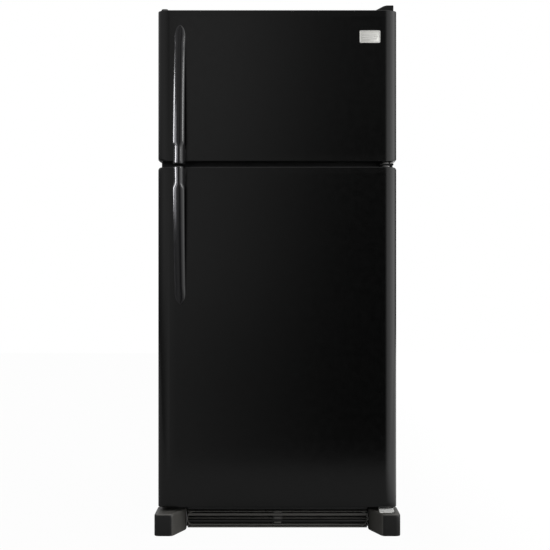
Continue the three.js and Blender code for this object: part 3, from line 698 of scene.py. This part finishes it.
def plain_cap(zi, zo, r_side=2.2, r_front=2.2):
    c = end_cap(zi, zo, r_side, r_front)
    d = 1 if zo > zi else -1
    h0, h1 = sorted((zo - d * 17, zo + d * 6))
    return boolean(c, cyl("z", 348.0, 30.0, h0, h1, 5.5, 28, 0.2))


# a plug fills the spare hinge hole in the freezer door's top cap
plug = loft([[(a, b, z) for a, b in rrect(-371 + i, -347 - i, 18 + i, 46 - i, 6, 4)] for z, i in ((FZ1 - 1, 0), (FZ1 + 0.6, 0), (FZ1 + 6.4, 1.2), (FZ1 + 8.4, 3.0), (FZ1 + 9.0, 6.0))])
g = Geo().add(plain_cap(PF1, FZ1)).add(plug)
make("freezer_door_cap_top_moulding", g, CAP, "freezer_door", ["freezer_door_cap_top"], "trim_black", 30)
make("freezer_door_cap_bottom_moulding", gap_cap(PF0, FZ0), CAP, "freezer_door", ["freezer_door_cap_bottom"], "trim_black", 30)
make("fridge_door_cap_top_moulding", gap_cap(PR1, RZ1), CAP, "fridge_door", ["fridge_door_cap_top"], "trim_black", 30)
make("fridge_door_cap_bottom_moulding", plain_cap(PR0, RZ0, 1.8, 5.0), CAP, "fridge_door", ["fridge_door_cap_bottom"], "trim_black", 30)


# ---------------------------------------------------------------- handles
def handle(z_cut, z_tip):
    """Bar handle: a foot by the cut end, a bowed grip, and a tip that sinks into the door.
    The bar's section is a flat-crowned arch whose sides roll back to a narrower rear."""
    d = 1 if z_tip > z_cut else -1
    L = abs(z_tip - z_cut)
    sec = []
    for k in range(28):
        a = 2 * pi * k / 28
        ca, sa = cos(a), sin(a)
        e1, e2 = (0.93, 0.97) if sa < 0 else (0.5, 0.5)
        sec.append(((abs(ca) ** e1) * (1 if ca >= 0 else -1), (abs(sa) ** e2) * (1 if sa >= 0 else -1)))
    stations = [0, 0.2, 0.7, 1.6, 3.2, 7, 13, 20, 30, 42, 50, 54, 58, 62, 67, 74, 84, 98, 115]
    stations += [115 + (L - 45 - 115) * i / 34 for i in range(1, 35)]
    stations += [L - 45 + 45 * sin(pi / 2 * i / 14) for i in range(1, 15)]
    rings = []
    for y in stations:
        s = y / L
        w = 37.6 - 2.4 * min(1, s / 0.93)
        if y > L - 40:
            w = max(3.0, w * (1 - ((y - L + 40) / 40) ** 2.2) ** 0.6)
        xc = -308.3 + 0.6 * s
        f = -59.6 + 56.0 * s ** 2
        back = f + 20.0 - 2.5 * s
        if y < 66:
            q = min(1.0, max(0.0, (y - 50) / 16))
            q = q * q * (3 - 2 * q)
            back = 1.0 * (1 - q) + back * q
            if y < 20:
                back = 1.0 - 9.0 * (1 - y / 20) ** 1.5
        elif back > -2.0:
            back = 1.0
        f = min(f, -2.6)
        e = 1.5 * (1 - y / 3.2) ** 2 if y < 3.2 else 0.0
        hw, hh = w / 2 - e, max(0.9, (back - f) / 2 - e)
        tc = (back + f) / 2
        rings.append([(xc + hw * p, tc + hh * q, z_cut + d * y) for p, q in sec])
    return loft(rings)


make("freezer_handle_bar", handle(*(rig.box("freezer_handle")[i][2] * 1000 for i in (0, 1))), GLOSS, "freezer_door", ["freezer_handle"], "handle_gloss", 40)
make("fridge_handle_bar", handle(*(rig.box("fridge_handle")[i][2] * 1000 for i in (1, 0))), GLOSS, "fridge_door", ["fridge_handle"], "handle_gloss", 40)

# ---------------------------------------------------------------- nameplate
bx0, bx1, bz0, bz1 = 260.8, 325.8, 1552.6, 1591.6
rim = frame_sweep(bx0 + 0.8, bx1 - 0.8, bz0 + 0.8, bz1 - 0.8, 3.0, [(0.0, -0.4), (0.8, -1.0), (0.8, -2.4), (0.2, -3.0), (-1.0, -3.0), (-1.6, -2.3), (-1.6, -0.4)], 5)
face = loft([[(a, t, b) for a, b in rrect(bx0 + i, bx1 - i, bz0 + i, bz1 - i, 3, 5)] for t, i in ((-0.4, 1.2), (-1.6, 1.2), (-1.9, 1.9))])
g = Geo().add(rim, 1).add(face, 0)
# a plain pressed pattern: three raised ribs with turned-down ends
for k, (w, z) in enumerate(((23, 1578.5), (27, 1572.2), (23, 1565.9))):
    cx = 293.3
    g.add(loft([[(a, t, b) for a, b in rrect(cx - w + i, cx + w - i, z - 1.7 + i, z + 1.7 - i, 1.7 - i * 0.8, 4)] for t, i in ((-1.6, 0), (-2.3, 0), (-2.7, 0.5))]), 1)
# the dark gasket the plate sits on
g2 = Geo().add(loft([[(a, t, b) for a, b in rrect(bx0 - 1.6 + i, bx1 + 1.6 - i, bz0 - 1.6 + i, bz1 + 1.6 - i, 4, 5)] for t, i in ((0.4, 0), (-0.5, 0), (-0.8, 0.5))]), 2)
g.add((g2.v, g2.f), 2)
make("nameplate_badge", g, [BADGE, BADGE_RIM, GASKET_AND_PAINTED_SHADE], "freezer_door", ["nameplate"], "badge", 30)

# ---------------------------------------------------------------- hinges and covers
cov_lo = [(312, 1657.8), (369, 1657.8), (369, 1671.2), (368.4, 1672.6), (366.5, 1673.2), (347, 1673.0), (341, 1671.4), (326, 1664.2)]
cov_hi = [(305, 1657.8), (369, 1657.8), (369, 1676.6), (368.0, 1679.0), (365.5, 1679.9), (345, 1679.9), (339, 1678.6), (320, 1668)]
def cov_at(k, e=0.0):
    cx, cz = 350.0, 1665.0
    return [((a[0] + (b[0] - a[0]) * k - cx) * (1 - e) + cx, (a[1] + (b[1] - a[1]) * k - cz) * (1 - e) + cz if a[1] > 1658 else a[1]) for a, b in zip(cov_lo, cov_hi)]
cover = loft([[(x, t, z) for x, z in cov_at(k, e)] for t, k, e in ((5.0, 0, 0.05), (5.6, 0.02, 0.015), (7.0, 0.05, 0.0), (18, 0.4, 0), (30, 0.8, 0), (40, 0.97, 0), (50, 1, 0), (120, 1, 0), (166, 1, 0), (169.2, 1, 0.02), (170, 1, 0.06))])
hollow = prism([(322, 1650), (366.5, 1650), (366.5, 1669.8), (349, 1670.0), (343, 1668.4), (330, 1661.5)], "t", 8.0, 167.0, 0)
cover = boolean(cover, hollow)
g = Geo().add(cover)
make("top_hinge_cover_moulding", g, TRIM, "cabinet", ["top_hinge_cover"], "trim_black", 30)


def keep_many(items):
    for node, mat, r in items:
        keep(node, mat, r)


NYLON = surface("washer_nylon", (0.60, 0.60, 0.585), 0.4, var=0.03, grain=1200, gs=0.1, gd=0.00005)
LEAF = surface("hinge_zinc", (0.5, 0.5, 0.49), 0.3, metal=0.9, var=0.08, rvar=0.08, grain=400, gs=0.1, gd=0.0001)
keep_many([("top_hinge", LEAF, 0.5), ("center_hinge", TRIM, 0.5), ("bottom_hinge", LEAF, 0.5)])
# washers on the centre hinge pin and under the fridge door
make("center_hinge_washers", merged(
    lathe([(5.3, 1172.2), (11.2, 1172.2), (11.6, 1172.8), (11.6, 1174.4), (11.0, 1175.0), (5.3, 1175.0)], "z", 348.0, 30.0, 40),
    lathe([(5.3, 1163.0), (11.2, 1163.0), (11.6, 1163.6), (11.6, 1165.2), (11.0, 1165.8), (5.3, 1165.8)], "z", 348.0, 30.0, 40),
    rbox(360.4, 370.6, 15.0, 62.0, 1171.6, 1175.6, 0.8)), NYLON, "cabinet")


# ---------------------------------------------------------------- gaskets
def gasket_ring(zlo, zhi):
    prof = [(0.0, 58.3), (0.0, 60.2), (-1.6, 61.0), (-1.6, 62.2), (-0.2, 63.2), (-0.2, 64.6), (-1.6, 65.6), (-1.6, 66.8), (-0.2, 67.8),
            (0.0, 70.2), (-0.8, 71.5), (-13.6, 71.7), (-15.6, 70.6), (-15.8, 66.0), (-14.2, 64.5), (-14.2, 62.0), (-16.0, 60.5), (-16.0, 58.3)]
    return frame_sweep(-345, 345, zlo, zhi, 6, prof, 6)


for name, node, body in (("freezer_gasket_bellows", "freezer_door_gasket", "freezer_door"), ("fridge_gasket_bellows", "fridge_door_gasket", "fridge_door")):
    lo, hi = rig.box(node)
    make(name, gasket_ring(lo[2] * 1000, hi[2] * 1000), GASKET, body, [node], "gasket", 40)

# ================================================================ toe grille
lo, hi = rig.box("toe_grille")
gz0, gz1 = lo[2] * 1000, hi[2] * 1000
g = Geo()
# material 1, the near-black sheet behind the louvres, is painted shade where there is only dark space; material 2 is a
# painted highlight
back = prism([(-291.6, gz0 + 1), (291.6, gz0 + 1), (291.6, gz1 - 1), (-291.6, gz1 - 1)], "t", 50.0, 53.0, 0.8)
g.add(back, 1)
def bar(z0, z1, tf, tb=52.0, x0=-287.5, x1=287.5, r=1.2, droop=0.0):
    return prism([(tf, z0 - droop), (tf - 0.0, z1 - droop), (tb, z1), (tb, z0)], "x", x0, x1, r, 2, 20)
g.add(bar(66.0, 74.0, 36.0), 0)
g.add(bar(58.6, 61.0, 33.6, r=0.9), 2)
g.add(bar(45.6, 53.4, 34.2, r=1.6), 2)
g.add(bar(37.0, 39.0, 33.6, r=0.8), 2)
g.add(bar(23.5, 32.5, 36.5, r=1.4), 0)
g.add(bar(14.8, 19.0, 36.0, r=1.0), 2)
g.add(bar(8.0, 13.0, 33.4, r=1.6), 2)
# D-shaped end bosses
for sx in (-1, 1):
    pts = [(sx * (264 + 25.4 * cos(-pi / 2 + pi * i / 16)), 36.5 + 25.4 * sin(-pi / 2 + pi * i / 16)) for i in range(17)]
    inner = [(sx * (264 + 22.8 * cos(-pi / 2 + pi * i / 16)), 36.5 + 22.8 * sin(-pi / 2 + pi * i / 16)) for i in range(17)]
    g.add(prism(pts + inner[::-1], "t", 33.0, 50.0, 0.5), 2)
# centre clip
g.add(prism([(-14, 12), (16, 12), (16, 62.5), (-14, 62.5)], "t", 37.5, 51.0, 1.5), 0)
g.add(rbox(-10, 12, 34.0, 40.0, 55.5, 61.5, 1.2), 2)
g.add(rbox(-10, 12, 34.0, 40.0, 36.0, 41.0, 1.2), 2)
g.add(rbox(-10, 12, 34.0, 40.0, 22.0, 27.0, 1.2), 2)
# painted highlight: the grille's black plastic made much lighter for the lit bars, the end bosses and the clip pads
GRILLE_LIT = surface("grille_plastic_painted_highlight", (0.105, 0.102, 0.094), 0.38, grain=1600, gs=0.2, gd=0.00008)
make("toe_grille_louvres", g, [GRILLE, GASKET_AND_PAINTED_SHADE, GRILLE_LIT], "cabinet", ["toe_grille"], "grille_plastic", 35)


# ---------------------------------------------------------------- foot covers
def boot(sx):
    """Moulded cover round each front corner of the base, a hollow shell open below."""
    out = [(386, 70), (386, -33), (382.5, -41.5), (374, -45), (336, -45), (329, -42), (324, -34), (292.5, 40), (292.5, 70)]
    def soften(poly, r, n=5):
        res = []
        m = len(poly)
        for i in range(m):
            p0, p1, p2 = (Vector(poly[i - 1]), Vector(poly[i]), Vector(poly[(i + 1) % m]))
            d0, d2 = (p0 - p1), (p2 - p1)
            d = min(r, d0.length * 0.45, d2.length * 0.45)
            a, b = p1 + d0.normalized() * d, p1 + d2.normalized() * d
            for k in range(n + 1):
                s = k / n
                res.append(tuple(a * (1 - s) ** 2 + p1 * 2 * s * (1 - s) + b * s * s))
        return res
    soft = soften(out, 8)
    cx = 337.0
    def scaled(s, z):
        res = []
        for x, t in soft:
            res.append((sx * (cx + (x - cx) * (1 - s / 44)), 12 + (t - 12) * (1 - s / 57), z))
        return res
    rings = [scaled(1.2, 0.3), scaled(0.2, 1.3), scaled(0, 4), scaled(0.0, 58)]
    for k in range(1, 7):
        a = pi / 2 * k / 6
        rings.append(scaled(4.5 * (1 - cos(a)), 62.5 + 6.0 * sin(a)))
    outer = loft(rings)
    inner = loft([scaled(3.4, -8), scaled(3.4, 60), scaled(8, 65.5)])
    shell = boolean(outer, inner)
    # a slot at the back for the base and its leg bracket
    return boolean(shell, rbox(*(sorted((sx * 286, sx * 376))), 60, 80, -5, 52, 0))


# painted shade: a darker copy of the same foot plastic for the boots' front and outer faces
FOOT_PAINTED_SHADE = surface("foot_plastic_front_painted_shade", (0.0065, 0.0065, 0.0062), 0.36, grain=1300, gs=0.3, gd=0.0001)


def shaded_boot(sx):
    """Same plastic all over in two painted copies: the top and inner faces lighter, as painted light, the front and
    outer faces darker, as painted shade.
    """
    verts, faces = boot(sx)
    g = Geo()
    g.v, g.f = verts, faces
    for f in faces:
        n = Vector((0, 0, 0))
        for a, b in zip(f, f[1:] + f[:1]):
            n += Vector(verts[a]).cross(Vector(verts[b]))
        n.normalize()
        c = sum((Vector(verts[i]) for i in f), Vector((0, 0, 0))) / len(f)
        outward = n.dot(c - Vector((sx * 337.0, 12.0, 34.0)))
        if outward < 0:
            n = -n
        # painted light by face direction: faces looking up or inward take the lit copy (0), all others the
        # painted-shade copy (1)
        g.m.append(0 if (n.z > 0.45 or n.x * sx < -0.55) else 1)
    return g


for sx, side in ((-1, "left"), (1, "right")):
    make("foot_cover_%s_moulding" % side, shaded_boot(sx), [FOOT_PAINTED_LIT, FOOT_PAINTED_SHADE], "cabinet", ["foot_cover_" + side], "foot_plastic", 34)
wedge = [(322, 14), (369, 14), (369, -10), (358, -24), (322, -24)]
top = [(x, t, 69.8 + (t + 24) / 38 * 6.4) for x, t in wedge]
low = [(x, t, max(69.15, z - 2.6)) for x, t, z in top]
# paler, less metallic zinc than the hinge leaf: partly the nose's own light zinc, partly a painted highlight
NOSE_PAINTED_HIGHLIGHT = surface("hinge_nose_zinc_painted_highlight", (0.82, 0.82, 0.80), 0.3, metal=0.3, var=0.12, rvar=0.08, grain=400, gs=0.1, gd=0.0001)
make("bottom_hinge_nose", loft([low, [((x - 345) * 1.0 + 345, t, z - 0.4) for x, t, z in top], [((x - 345) * 0.985 + 345, t * 0.985, z) for x, t, z in top]]), NOSE_PAINTED_HIGHLIGHT, "cabinet")

# ================================================================ cabinet
keep("cabinet_shell", CABINET, 1.2)
keep("back_panel", GALV, 0.4)
keep("cabinet_foam", FOAM, 0)
keep("base_frame", GALV, 0.4)
for n in ("freezer_liner", "fridge_liner", "freezer_door_liner", "fridge_door_liner"):
    keep(n, LINER, 2.0, 3)
for n in ("freezer_door_foam", "fridge_door_foam"):
    keep(n, FOAM, 0)
keep("compressor", COMP, 0.5)
keep("condenser_coil", BLACK_TUBE, 0)
keep("condenser_fan_motor", GREY, 0.6)
keep("rear_access_cover", GALV, 0.4)
keep("power_inlet", TRIM, 0.8)
keep("evaporator_coil", ALU, 0)
keep("evaporator_cover", WHITE, 0.5)
keep("evaporator_fan_motor", GREY, 0.6)
keep("freezer_shelf", WIRE, 0)
keep("control_housing", WHITE, 2.0)
keep("lamp_lens", LENS, 1.5)
for n in ("shelf_upper", "shelf_lower", "crisper_cover"):
    keep(n, GLASS, 0.8)
for n in ("freezer_door_bin_lower", "freezer_door_bin_upper", "fridge_door_bin_lower", "fridge_door_bin_upper", "dairy_compartment", "dairy_flap"):
    keep(n, CLEAR, 1.2)
for n in ("crisper_left", "crisper_right"):
    keep(n, CLEAR, 1.5)
for n in ("humidity_slider_left", "humidity_slider_right", "light_switch", "temperature_knob"):
    keep(n, WHITE, 0.6)
for n in ("condenser_fan_blade", "evaporator_fan_blade"):
    keep(n, TRIM, 0.3)
for n in ("leveling_leg_left", "leveling_leg_right"):
    keep(n, ZINC, 0.4)
for n in ("rear_roller_left", "rear_roller_right"):
    keep(n, RUBBER, 1.0)

# ================================================================ details inside
INNER = []


def lip_profile(t0, z0, z1, d, reach=12.0, out=4.0, low=4.0, top=2.2):
    """A C-shaped edge trim round a shelf's edge at depth t0; d is -1 at the front, +1 at the back."""
    return [(t0 + d * out, z0 - low), (t0 - d * reach, z0 - low), (t0 - d * reach, z0 - 0.25), (t0 + d * 0.4, z0 - 0.25),
            (t0 + d * 0.4, z1 + 0.25), (t0 - d * reach, z1 + 0.25), (t0 - d * reach, z1 + top), (t0 + d * out, z1 + top)]


for shelf in ("shelf_upper", "shelf_lower", "crisper_cover"):
    lo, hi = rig.box(shelf)
    x0, x1, t0, t1, z0, z1 = lo[0] * 1000, hi[0] * 1000, lo[1] * 1000 - FY, hi[1] * 1000 - FY, lo[2] * 1000, hi[2] * 1000
    low = 2.6 if shelf == "crisper_cover" else 4.0
    n = shelf + "_front_trim"
    make(n, prism(lip_profile(t0, z0, z1, -1, low=low), "x", x0 + 0.6, x1 - 0.6, 1.0, 2), WHITE, "cabinet")
    INNER.append(n)
    if shelf != "crisper_cover":
        n = shelf + "_rear_trim"
        make(n, prism(lip_profile(t1, z0, z1, 1, reach=9, out=3), "x", -298, 298, 0.8, 2), WHITE, "cabinet")
        INNER.append(n)

# pulls across the crisper fronts
for side in ("left", "right"):
    lo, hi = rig.box("crisper_" + side)
    x0, x1, t0 = lo[0] * 1000, hi[0] * 1000, lo[1] * 1000 - FY
    xm = (x0 + x1) / 2
    n = "crisper_%s_pull" % side
    pull = prism([(t0 - 0.3, 226), (t0 - 7, 228), (t0 - 12.5, 234), (t0 - 14, 241), (t0 - 12.4, 244.5), (t0 - 10.2, 243), (t0 - 9.4, 238), (t0 - 4.5, 233), (t0 - 2.8, 238), (t0 - 2.8, 262), (t0 - 0.3, 262)], "x", xm - 92, xm + 92, 0.9, 2, 40)
    make(n, pull, WHITE, side + "_crisper")
    INNER.append(n)

# bright bands along the door bins' top edges
for node, body in (("freezer_door_bin_lower", "freezer_door"), ("freezer_door_bin_upper", "freezer_door"), ("fridge_door_bin_lower", "fridge_door"), ("fridge_door_bin_upper", "fridge_door")):
    lo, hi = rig.box(node)
    x0, x1, t1, z1 = lo[0] * 1000, hi[0] * 1000, hi[1] * 1000 - FY, hi[2] * 1000
    n = node + "_band"
    make(n, prism([(t1 + 0.25, z1 - 15), (t1 + 1.6, z1 - 14.2), (t1 + 2.2, z1 - 12), (t1 + 2.2, z1 - 3), (t1 + 1.6, z1 - 1.0), (t1 + 0.25, z1 - 0.4)], "x", x0 + 14, x1 - 14, 0.5, 2, 30), ALU, body)
    INNER.append(n)

# pointer and grip on the temperature knob, and marks on its housing
lo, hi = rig.box("temperature_knob")
kx, kz, kt = (lo[0] + hi[0]) * 500, (lo[2] + hi[2]) * 500, lo[1] * 1000 - FY
make("temperature_knob_pointer", merged(rbox(kx - 1.2, kx + 1.2, kt - 0.7, kt - 0.15, kz + 4, kz + 20, 0.3),
     lathe([(0, kt - 0.9), (2.6, kt - 0.9), (3.0, kt - 0.5), (3.0, kt - 0.15), (0, kt - 0.15)], "t", kx, kz, 24)), GREY, "temperature_dial")
lo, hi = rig.box("control_housing")
ct = lo[1] * 1000 - FY
marks = [rbox(kx - 34 - i * 6.5, kx - 31.6 - i * 6.5, ct - 0.6, ct - 0.15, kz - 1.4 - i * 1.5, kz + 1.4 + i * 1.5, 0.25) for i in range(5)]
make("control_scale_marks", merged(*marks), GREY, "cabinet")
INNER += ["temperature_knob_pointer", "control_scale_marks"]

# ================================================================ details at the back
g = Geo()
for x in (-355, 355):
    for k in range(6):
        for part, mi in zip(screw("t", x, 345 + k * 257.0, 756.1, 1, 4.0, 2.0), (0, 1)):
            g.add(part, mi)
for x in (-180, 0, 180):
    for part, mi in zip(screw("t", x, 1640.0, 756.1, 1, 4.0, 2.0), (0, 1)):
        g.add(part, mi)
make("back_panel_screws", g, [ZINC, GASKET_AND_PAINTED_SHADE], "cabinet")
g = Geo()
for x in (-210, 0, 210):
    g.add(loft([[(a, t, b) for a, b in rrect(x - 13 + i, x + 13 - i, 430 + i, 1560 - i, 13 - i * 0.8, 8)] for t, i in ((756.15, 0), (757.0, 1.2), (757.8, 3.4), (758.1, 6.0))]))
make("back_panel_beads", g, GALV, "cabinet")
g = Geo()
for x in (-352, 352):
    for z in (84, 300):
        for part, mi in zip(screw("t", x, z, 763.7, 1, 4.0, 2.0), (0, 1)):
            g.add(part, mi)
make("rear_cover_screws", g, [ZINC, GASKET_AND_PAINTED_SHADE], "cabinet")

# ================================================================ floor, lights, camera
floor_mat, nt, b, tc = new_mat("floor")
n1 = noise(nt, tc, 3, 3)
nt.links.new(tint(nt, n1.outputs["Fac"], (0.30, 0.30, 0.30), (0.32, 0.32, 0.32)), b.inputs["Base Color"])
b.inputs["Roughness"].default_value = 0.9
b.inputs["Specular IOR Level"].default_value = 0.0
bump(nt, b, noise(nt, tc, 300, 2).outputs["Fac"], 0.05, 0.0002)
# painted light: the floor glows more towards the right, rising with x, standing in for the light the bright panel
# beside it throws
fsep = nt.nodes.new("ShaderNodeSeparateXYZ")
nt.links.new(tc.outputs["Object"], fsep.inputs[0])
nt.links.new(spread(nt, fsep.outputs["X"], 0.0, 1.1, 0.5, 1.0), b.inputs["Emission Strength"])
b.inputs["Emission Color"].default_value = (1, 1, 1, 1)
# the floor is burnt out to near white where the lens sees it, as a sweep is
lp = nt.nodes.new("ShaderNodeLightPath")
em = nt.nodes.new("ShaderNodeEmission")
em.inputs["Color"].default_value = (1, 1, 1, 1)
em.inputs["Strength"].default_value = 1.0
mx = nt.nodes.new("ShaderNodeMixShader")
fac = nt.nodes.new("ShaderNodeMath")
fac.operation = "MULTIPLY"
fac.inputs[1].default_value = 0.975
out = nt.nodes["Material Output"]
nt.links.new(lp.outputs["Is Camera Ray"], fac.inputs[0])
nt.links.new(fac.outputs[0], mx.inputs["Fac"])
nt.links.new(b.outputs["BSDF"], mx.inputs[1])
nt.links.new(em.outputs["Emission"], mx.inputs[2])
nt.links.new(mx.outputs["Shader"], out.inputs["Surface"])
me = bpy.data.meshes.new("floor")
me.from_pydata([(-7, -1.5, 0), (7, -1.5, 0), (7, 7, 0), (-7, 7, 0)], [], [(0, 1, 2, 3)])
me.materials.append(floor_mat)
floor = bpy.data.objects.new("floor", me)
bpy.context.scene.collection.objects.link(floor)
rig.stage(floor)


def area(name, loc, target, w, h, power, color=(1, 1, 1), only=None):
    L = bpy.data.lights.new(name, "AREA")
    L.shape, L.size, L.size_y, L.energy, L.color = "RECTANGLE", w, h, power, color
    o = bpy.data.objects.new(name, L)
    o.location = loc
    d = Vector(target) - Vector(loc)
    o.rotation_euler = d.to_track_quat("-Z", "Y").to_euler()
    o.visible_camera = False
    bpy.context.scene.collection.objects.link(o)
    if only:
        col = bpy.data.collections.new(name + "_receivers")
        for r in only:
            col.objects.link(frame["nodes"].get(r) or bpy.data.objects[r])
        o.light_linking.receiver_collection = col
    return o


# The studio is a wrap-round of soft panels: brightness by bearing (0 is towards the lens,
# +90 the right) at three heights, and a soft ceiling. Black enamel shows little else.
BEARINGS = [-180, -150, -120, -95, -70, -45, -25, -12, -4, 4, 12, 24, 36, 52, 70, 90, 105, 120, 150, 180]
PANELS = {
    "high": [0.6, 0.6, 0.55, 0.5, 0.45, 0.45, 0.34, 0.20, 0.50, 0.04, 0.10, 1.0, 1.05, 1.6, 2.2, 2.2, 0.7, 0.4, 0.5, 0.6],
    "mid": [0.10, 0.12, 0.12, 0.15, 0.30, 0.50, 0.45, 0.47, 0.34, 0.0, 0.0, 1.1, 1.15, 1.75, 2.3, 2.3, 0.45, 0.15, 0.12, 0.10],
    "low": [0.03, 0.03, 0.03, 0.03, 0.08, 0.15, 0.3, 0.40, 0.17, 0.0, 0.0, 0.80, 1.0, 1.6, 2.0, 1.9, 0.3, 0.1, 0.05, 0.03],
}
CEILING = 1.6
world = bpy.data.worlds.new("studio")
bpy.context.scene.world = world
world.use_nodes = True
wn = world.node_tree
bg = wn.nodes["Background"]
bg.inputs["Color"].default_value = (1, 1, 1, 1)


def wmath(op, a, b=None, c=None):
    n = wn.nodes.new("ShaderNodeMath")
    n.operation = op
    for i, v in enumerate((a, b, c)):
        if v is None:
            continue
        if isinstance(v, (int, float)):
            n.inputs[i].default_value = v
        else:
            wn.links.new(v, n.inputs[i])
    return n.outputs[0]


def wstep(v, a, b):
    n = wn.nodes.new("ShaderNodeMapRange")
    n.interpolation_type = "SMOOTHSTEP"
    n.inputs["From Min"].default_value, n.inputs["From Max"].default_value = a, b
    wn.links.new(v, n.inputs["Value"])
    return n.outputs["Result"]


wtc = wn.nodes.new("ShaderNodeTexCoord")
wsep = wn.nodes.new("ShaderNodeSeparateXYZ")
wn.links.new(wtc.outputs["Generated"], wsep.inputs[0])
bearing = wmath("ARCTAN2", wsep.outputs["X"], wmath("MULTIPLY", wsep.outputs["Y"], -1.0))
turn = wmath("MULTIPLY_ADD", bearing, 0.5 / pi, 0.5)
SCALE = 8.0


def panel_ramp(name):
    r = wn.nodes.new("ShaderNodeValToRGB")
    r.name = "panels_" + name
    r.color_ramp.interpolation = "LINEAR"
    els = r.color_ramp.elements
    els[0].position, els[1].position = 0.0, 1.0
    for i, (deg, v) in enumerate(zip(BEARINGS, PANELS[name])):
        e = els[0] if i == 0 else els[-1] if i == len(BEARINGS) - 1 else els.new((deg + 180) / 360)
        e.color = (v / SCALE, v / SCALE, v / SCALE, 1)
    wn.links.new(turn, r.inputs["Fac"])
    return wmath("MULTIPLY", r.outputs["Color"], SCALE)


up1, up2 = wstep(wsep.outputs["Z"], -0.10, 0.03), wstep(wsep.outputs["Z"], 0.06, 0.22)
roof = wstep(wsep.outputs["Z"], 0.72, 0.95)
down1, down2, open_sky = (wmath("SUBTRACT", 1.0, v) for v in (up1, up2, roof))
total = wmath("MULTIPLY", panel_ramp("low"), down1)
total = wmath("MULTIPLY_ADD", panel_ramp("mid"), wmath("MULTIPLY", up1, down2), total)
total = wmath("MULTIPLY_ADD", panel_ramp("high"), wmath("MULTIPLY", up2, open_sky), total)
total = wmath("MULTIPLY_ADD", roof, CEILING, total)
total.node.name = "ceiling"
wn.links.new(total, bg.inputs["Strength"])
lp = wn.nodes.new("ShaderNodeLightPath")
white = wn.nodes.new("ShaderNodeBackground")
white.inputs["Color"].default_value = (1, 1, 1, 1)
white.inputs["Strength"].default_value = 1.0
mix = wn.nodes.new("ShaderNodeMixShader")
wn.links.new(lp.outputs["Is Camera Ray"], mix.inputs["Fac"])
wn.links.new(bg.outputs["Background"], mix.inputs[1])
wn.links.new(white.outputs["Background"], mix.inputs[2])
wn.links.new(mix.outputs["Shader"], wn.nodes["World Output"].inputs["Surface"])

# two strip lights that only model the glossy handles
area("handle_strip_left", (-2.95, -1.0, 1.75), (-0.32, -0.4, 1.2), 1.3, 1.5, 150, (0.97, 0.96, 1.0), only=("freezer_handle_bar", "fridge_handle_bar"))
area("handle_soft_left", (-2.3, -2.7, 1.5), (-0.32, -0.4, 1.2), 1.3, 1.7, 34, (0.95, 0.94, 1.0), only=("freezer_handle_bar", "fridge_handle_bar"))
area("handle_strip_right", (2.4, -2.6, 2.6), (-0.30, -0.4, 1.4), 0.9, 1.6, 45, only=("freezer_handle_bar", "fridge_handle_bar", "nameplate_badge"))

# fills for the white interior and for the back, which the front view doesn't see
INNER += ["freezer_liner", "fridge_liner", "freezer_door_liner", "fridge_door_liner", "evaporator_cover", "freezer_shelf", "control_housing", "lamp_lens",
          "shelf_upper", "shelf_lower", "crisper_cover", "freezer_door_bin_lower", "freezer_door_bin_upper", "fridge_door_bin_lower", "fridge_door_bin_upper",
          "dairy_compartment", "dairy_flap", "crisper_left", "crisper_right", "humidity_slider_left", "humidity_slider_right", "light_switch", "temperature_knob"]
area("interior_fill_left", (-1.3, -3.0, 1.9), (0, 0, 0.85), 1.6, 1.6, 75, only=INNER)
area("interior_fill_right", (1.6, -2.6, 1.5), (0, 0, 0.85), 1.6, 1.6, 45, only=INNER)
REAR = ["cabinet_shell", "back_panel", "rear_access_cover", "power_inlet", "base_frame", "back_panel_screws", "back_panel_beads", "rear_cover_screws", "rear_roller_left", "rear_roller_right"]
area("rear_fill", (-1.6, 3.6, 2.3), (0, 0.4, 0.8), 2.0, 2.0, 90, only=REAR[1:])
area("side_fill", (3.4, 1.0, 2.0), (0.37, 0.0, 0.8), 1.6, 1.6, 40, only=REAR)

cam = bpy.data.cameras.new("camera")
cam.lens, cam.sensor_width, cam.sensor_fit = 66.08, 36.0, "HORIZONTAL"
cam.clip_start, cam.clip_end = 0.05, 60
co = bpy.data.objects.new("camera", cam)
co.location = (-0.0073, -3.5555, 0.817)
co.rotation_euler = (radians(90), 0, 0)
bpy.context.scene.collection.objects.link(co)
bpy.context.scene.camera = co
sc = bpy.context.scene
sc.view_settings.view_transform = "Standard"
sc.view_settings.look = "None"
sc.view_settings.exposure = 0.0
sc.view_settings.gamma = 1.0

try:
    with open("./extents.json", "w") as f:
        json.dump({"cad": [list(map(float, p)) for p in CAD_BOX], "visual": [list(map(float, p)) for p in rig.bounds()]}, f)
except OSError:
    pass
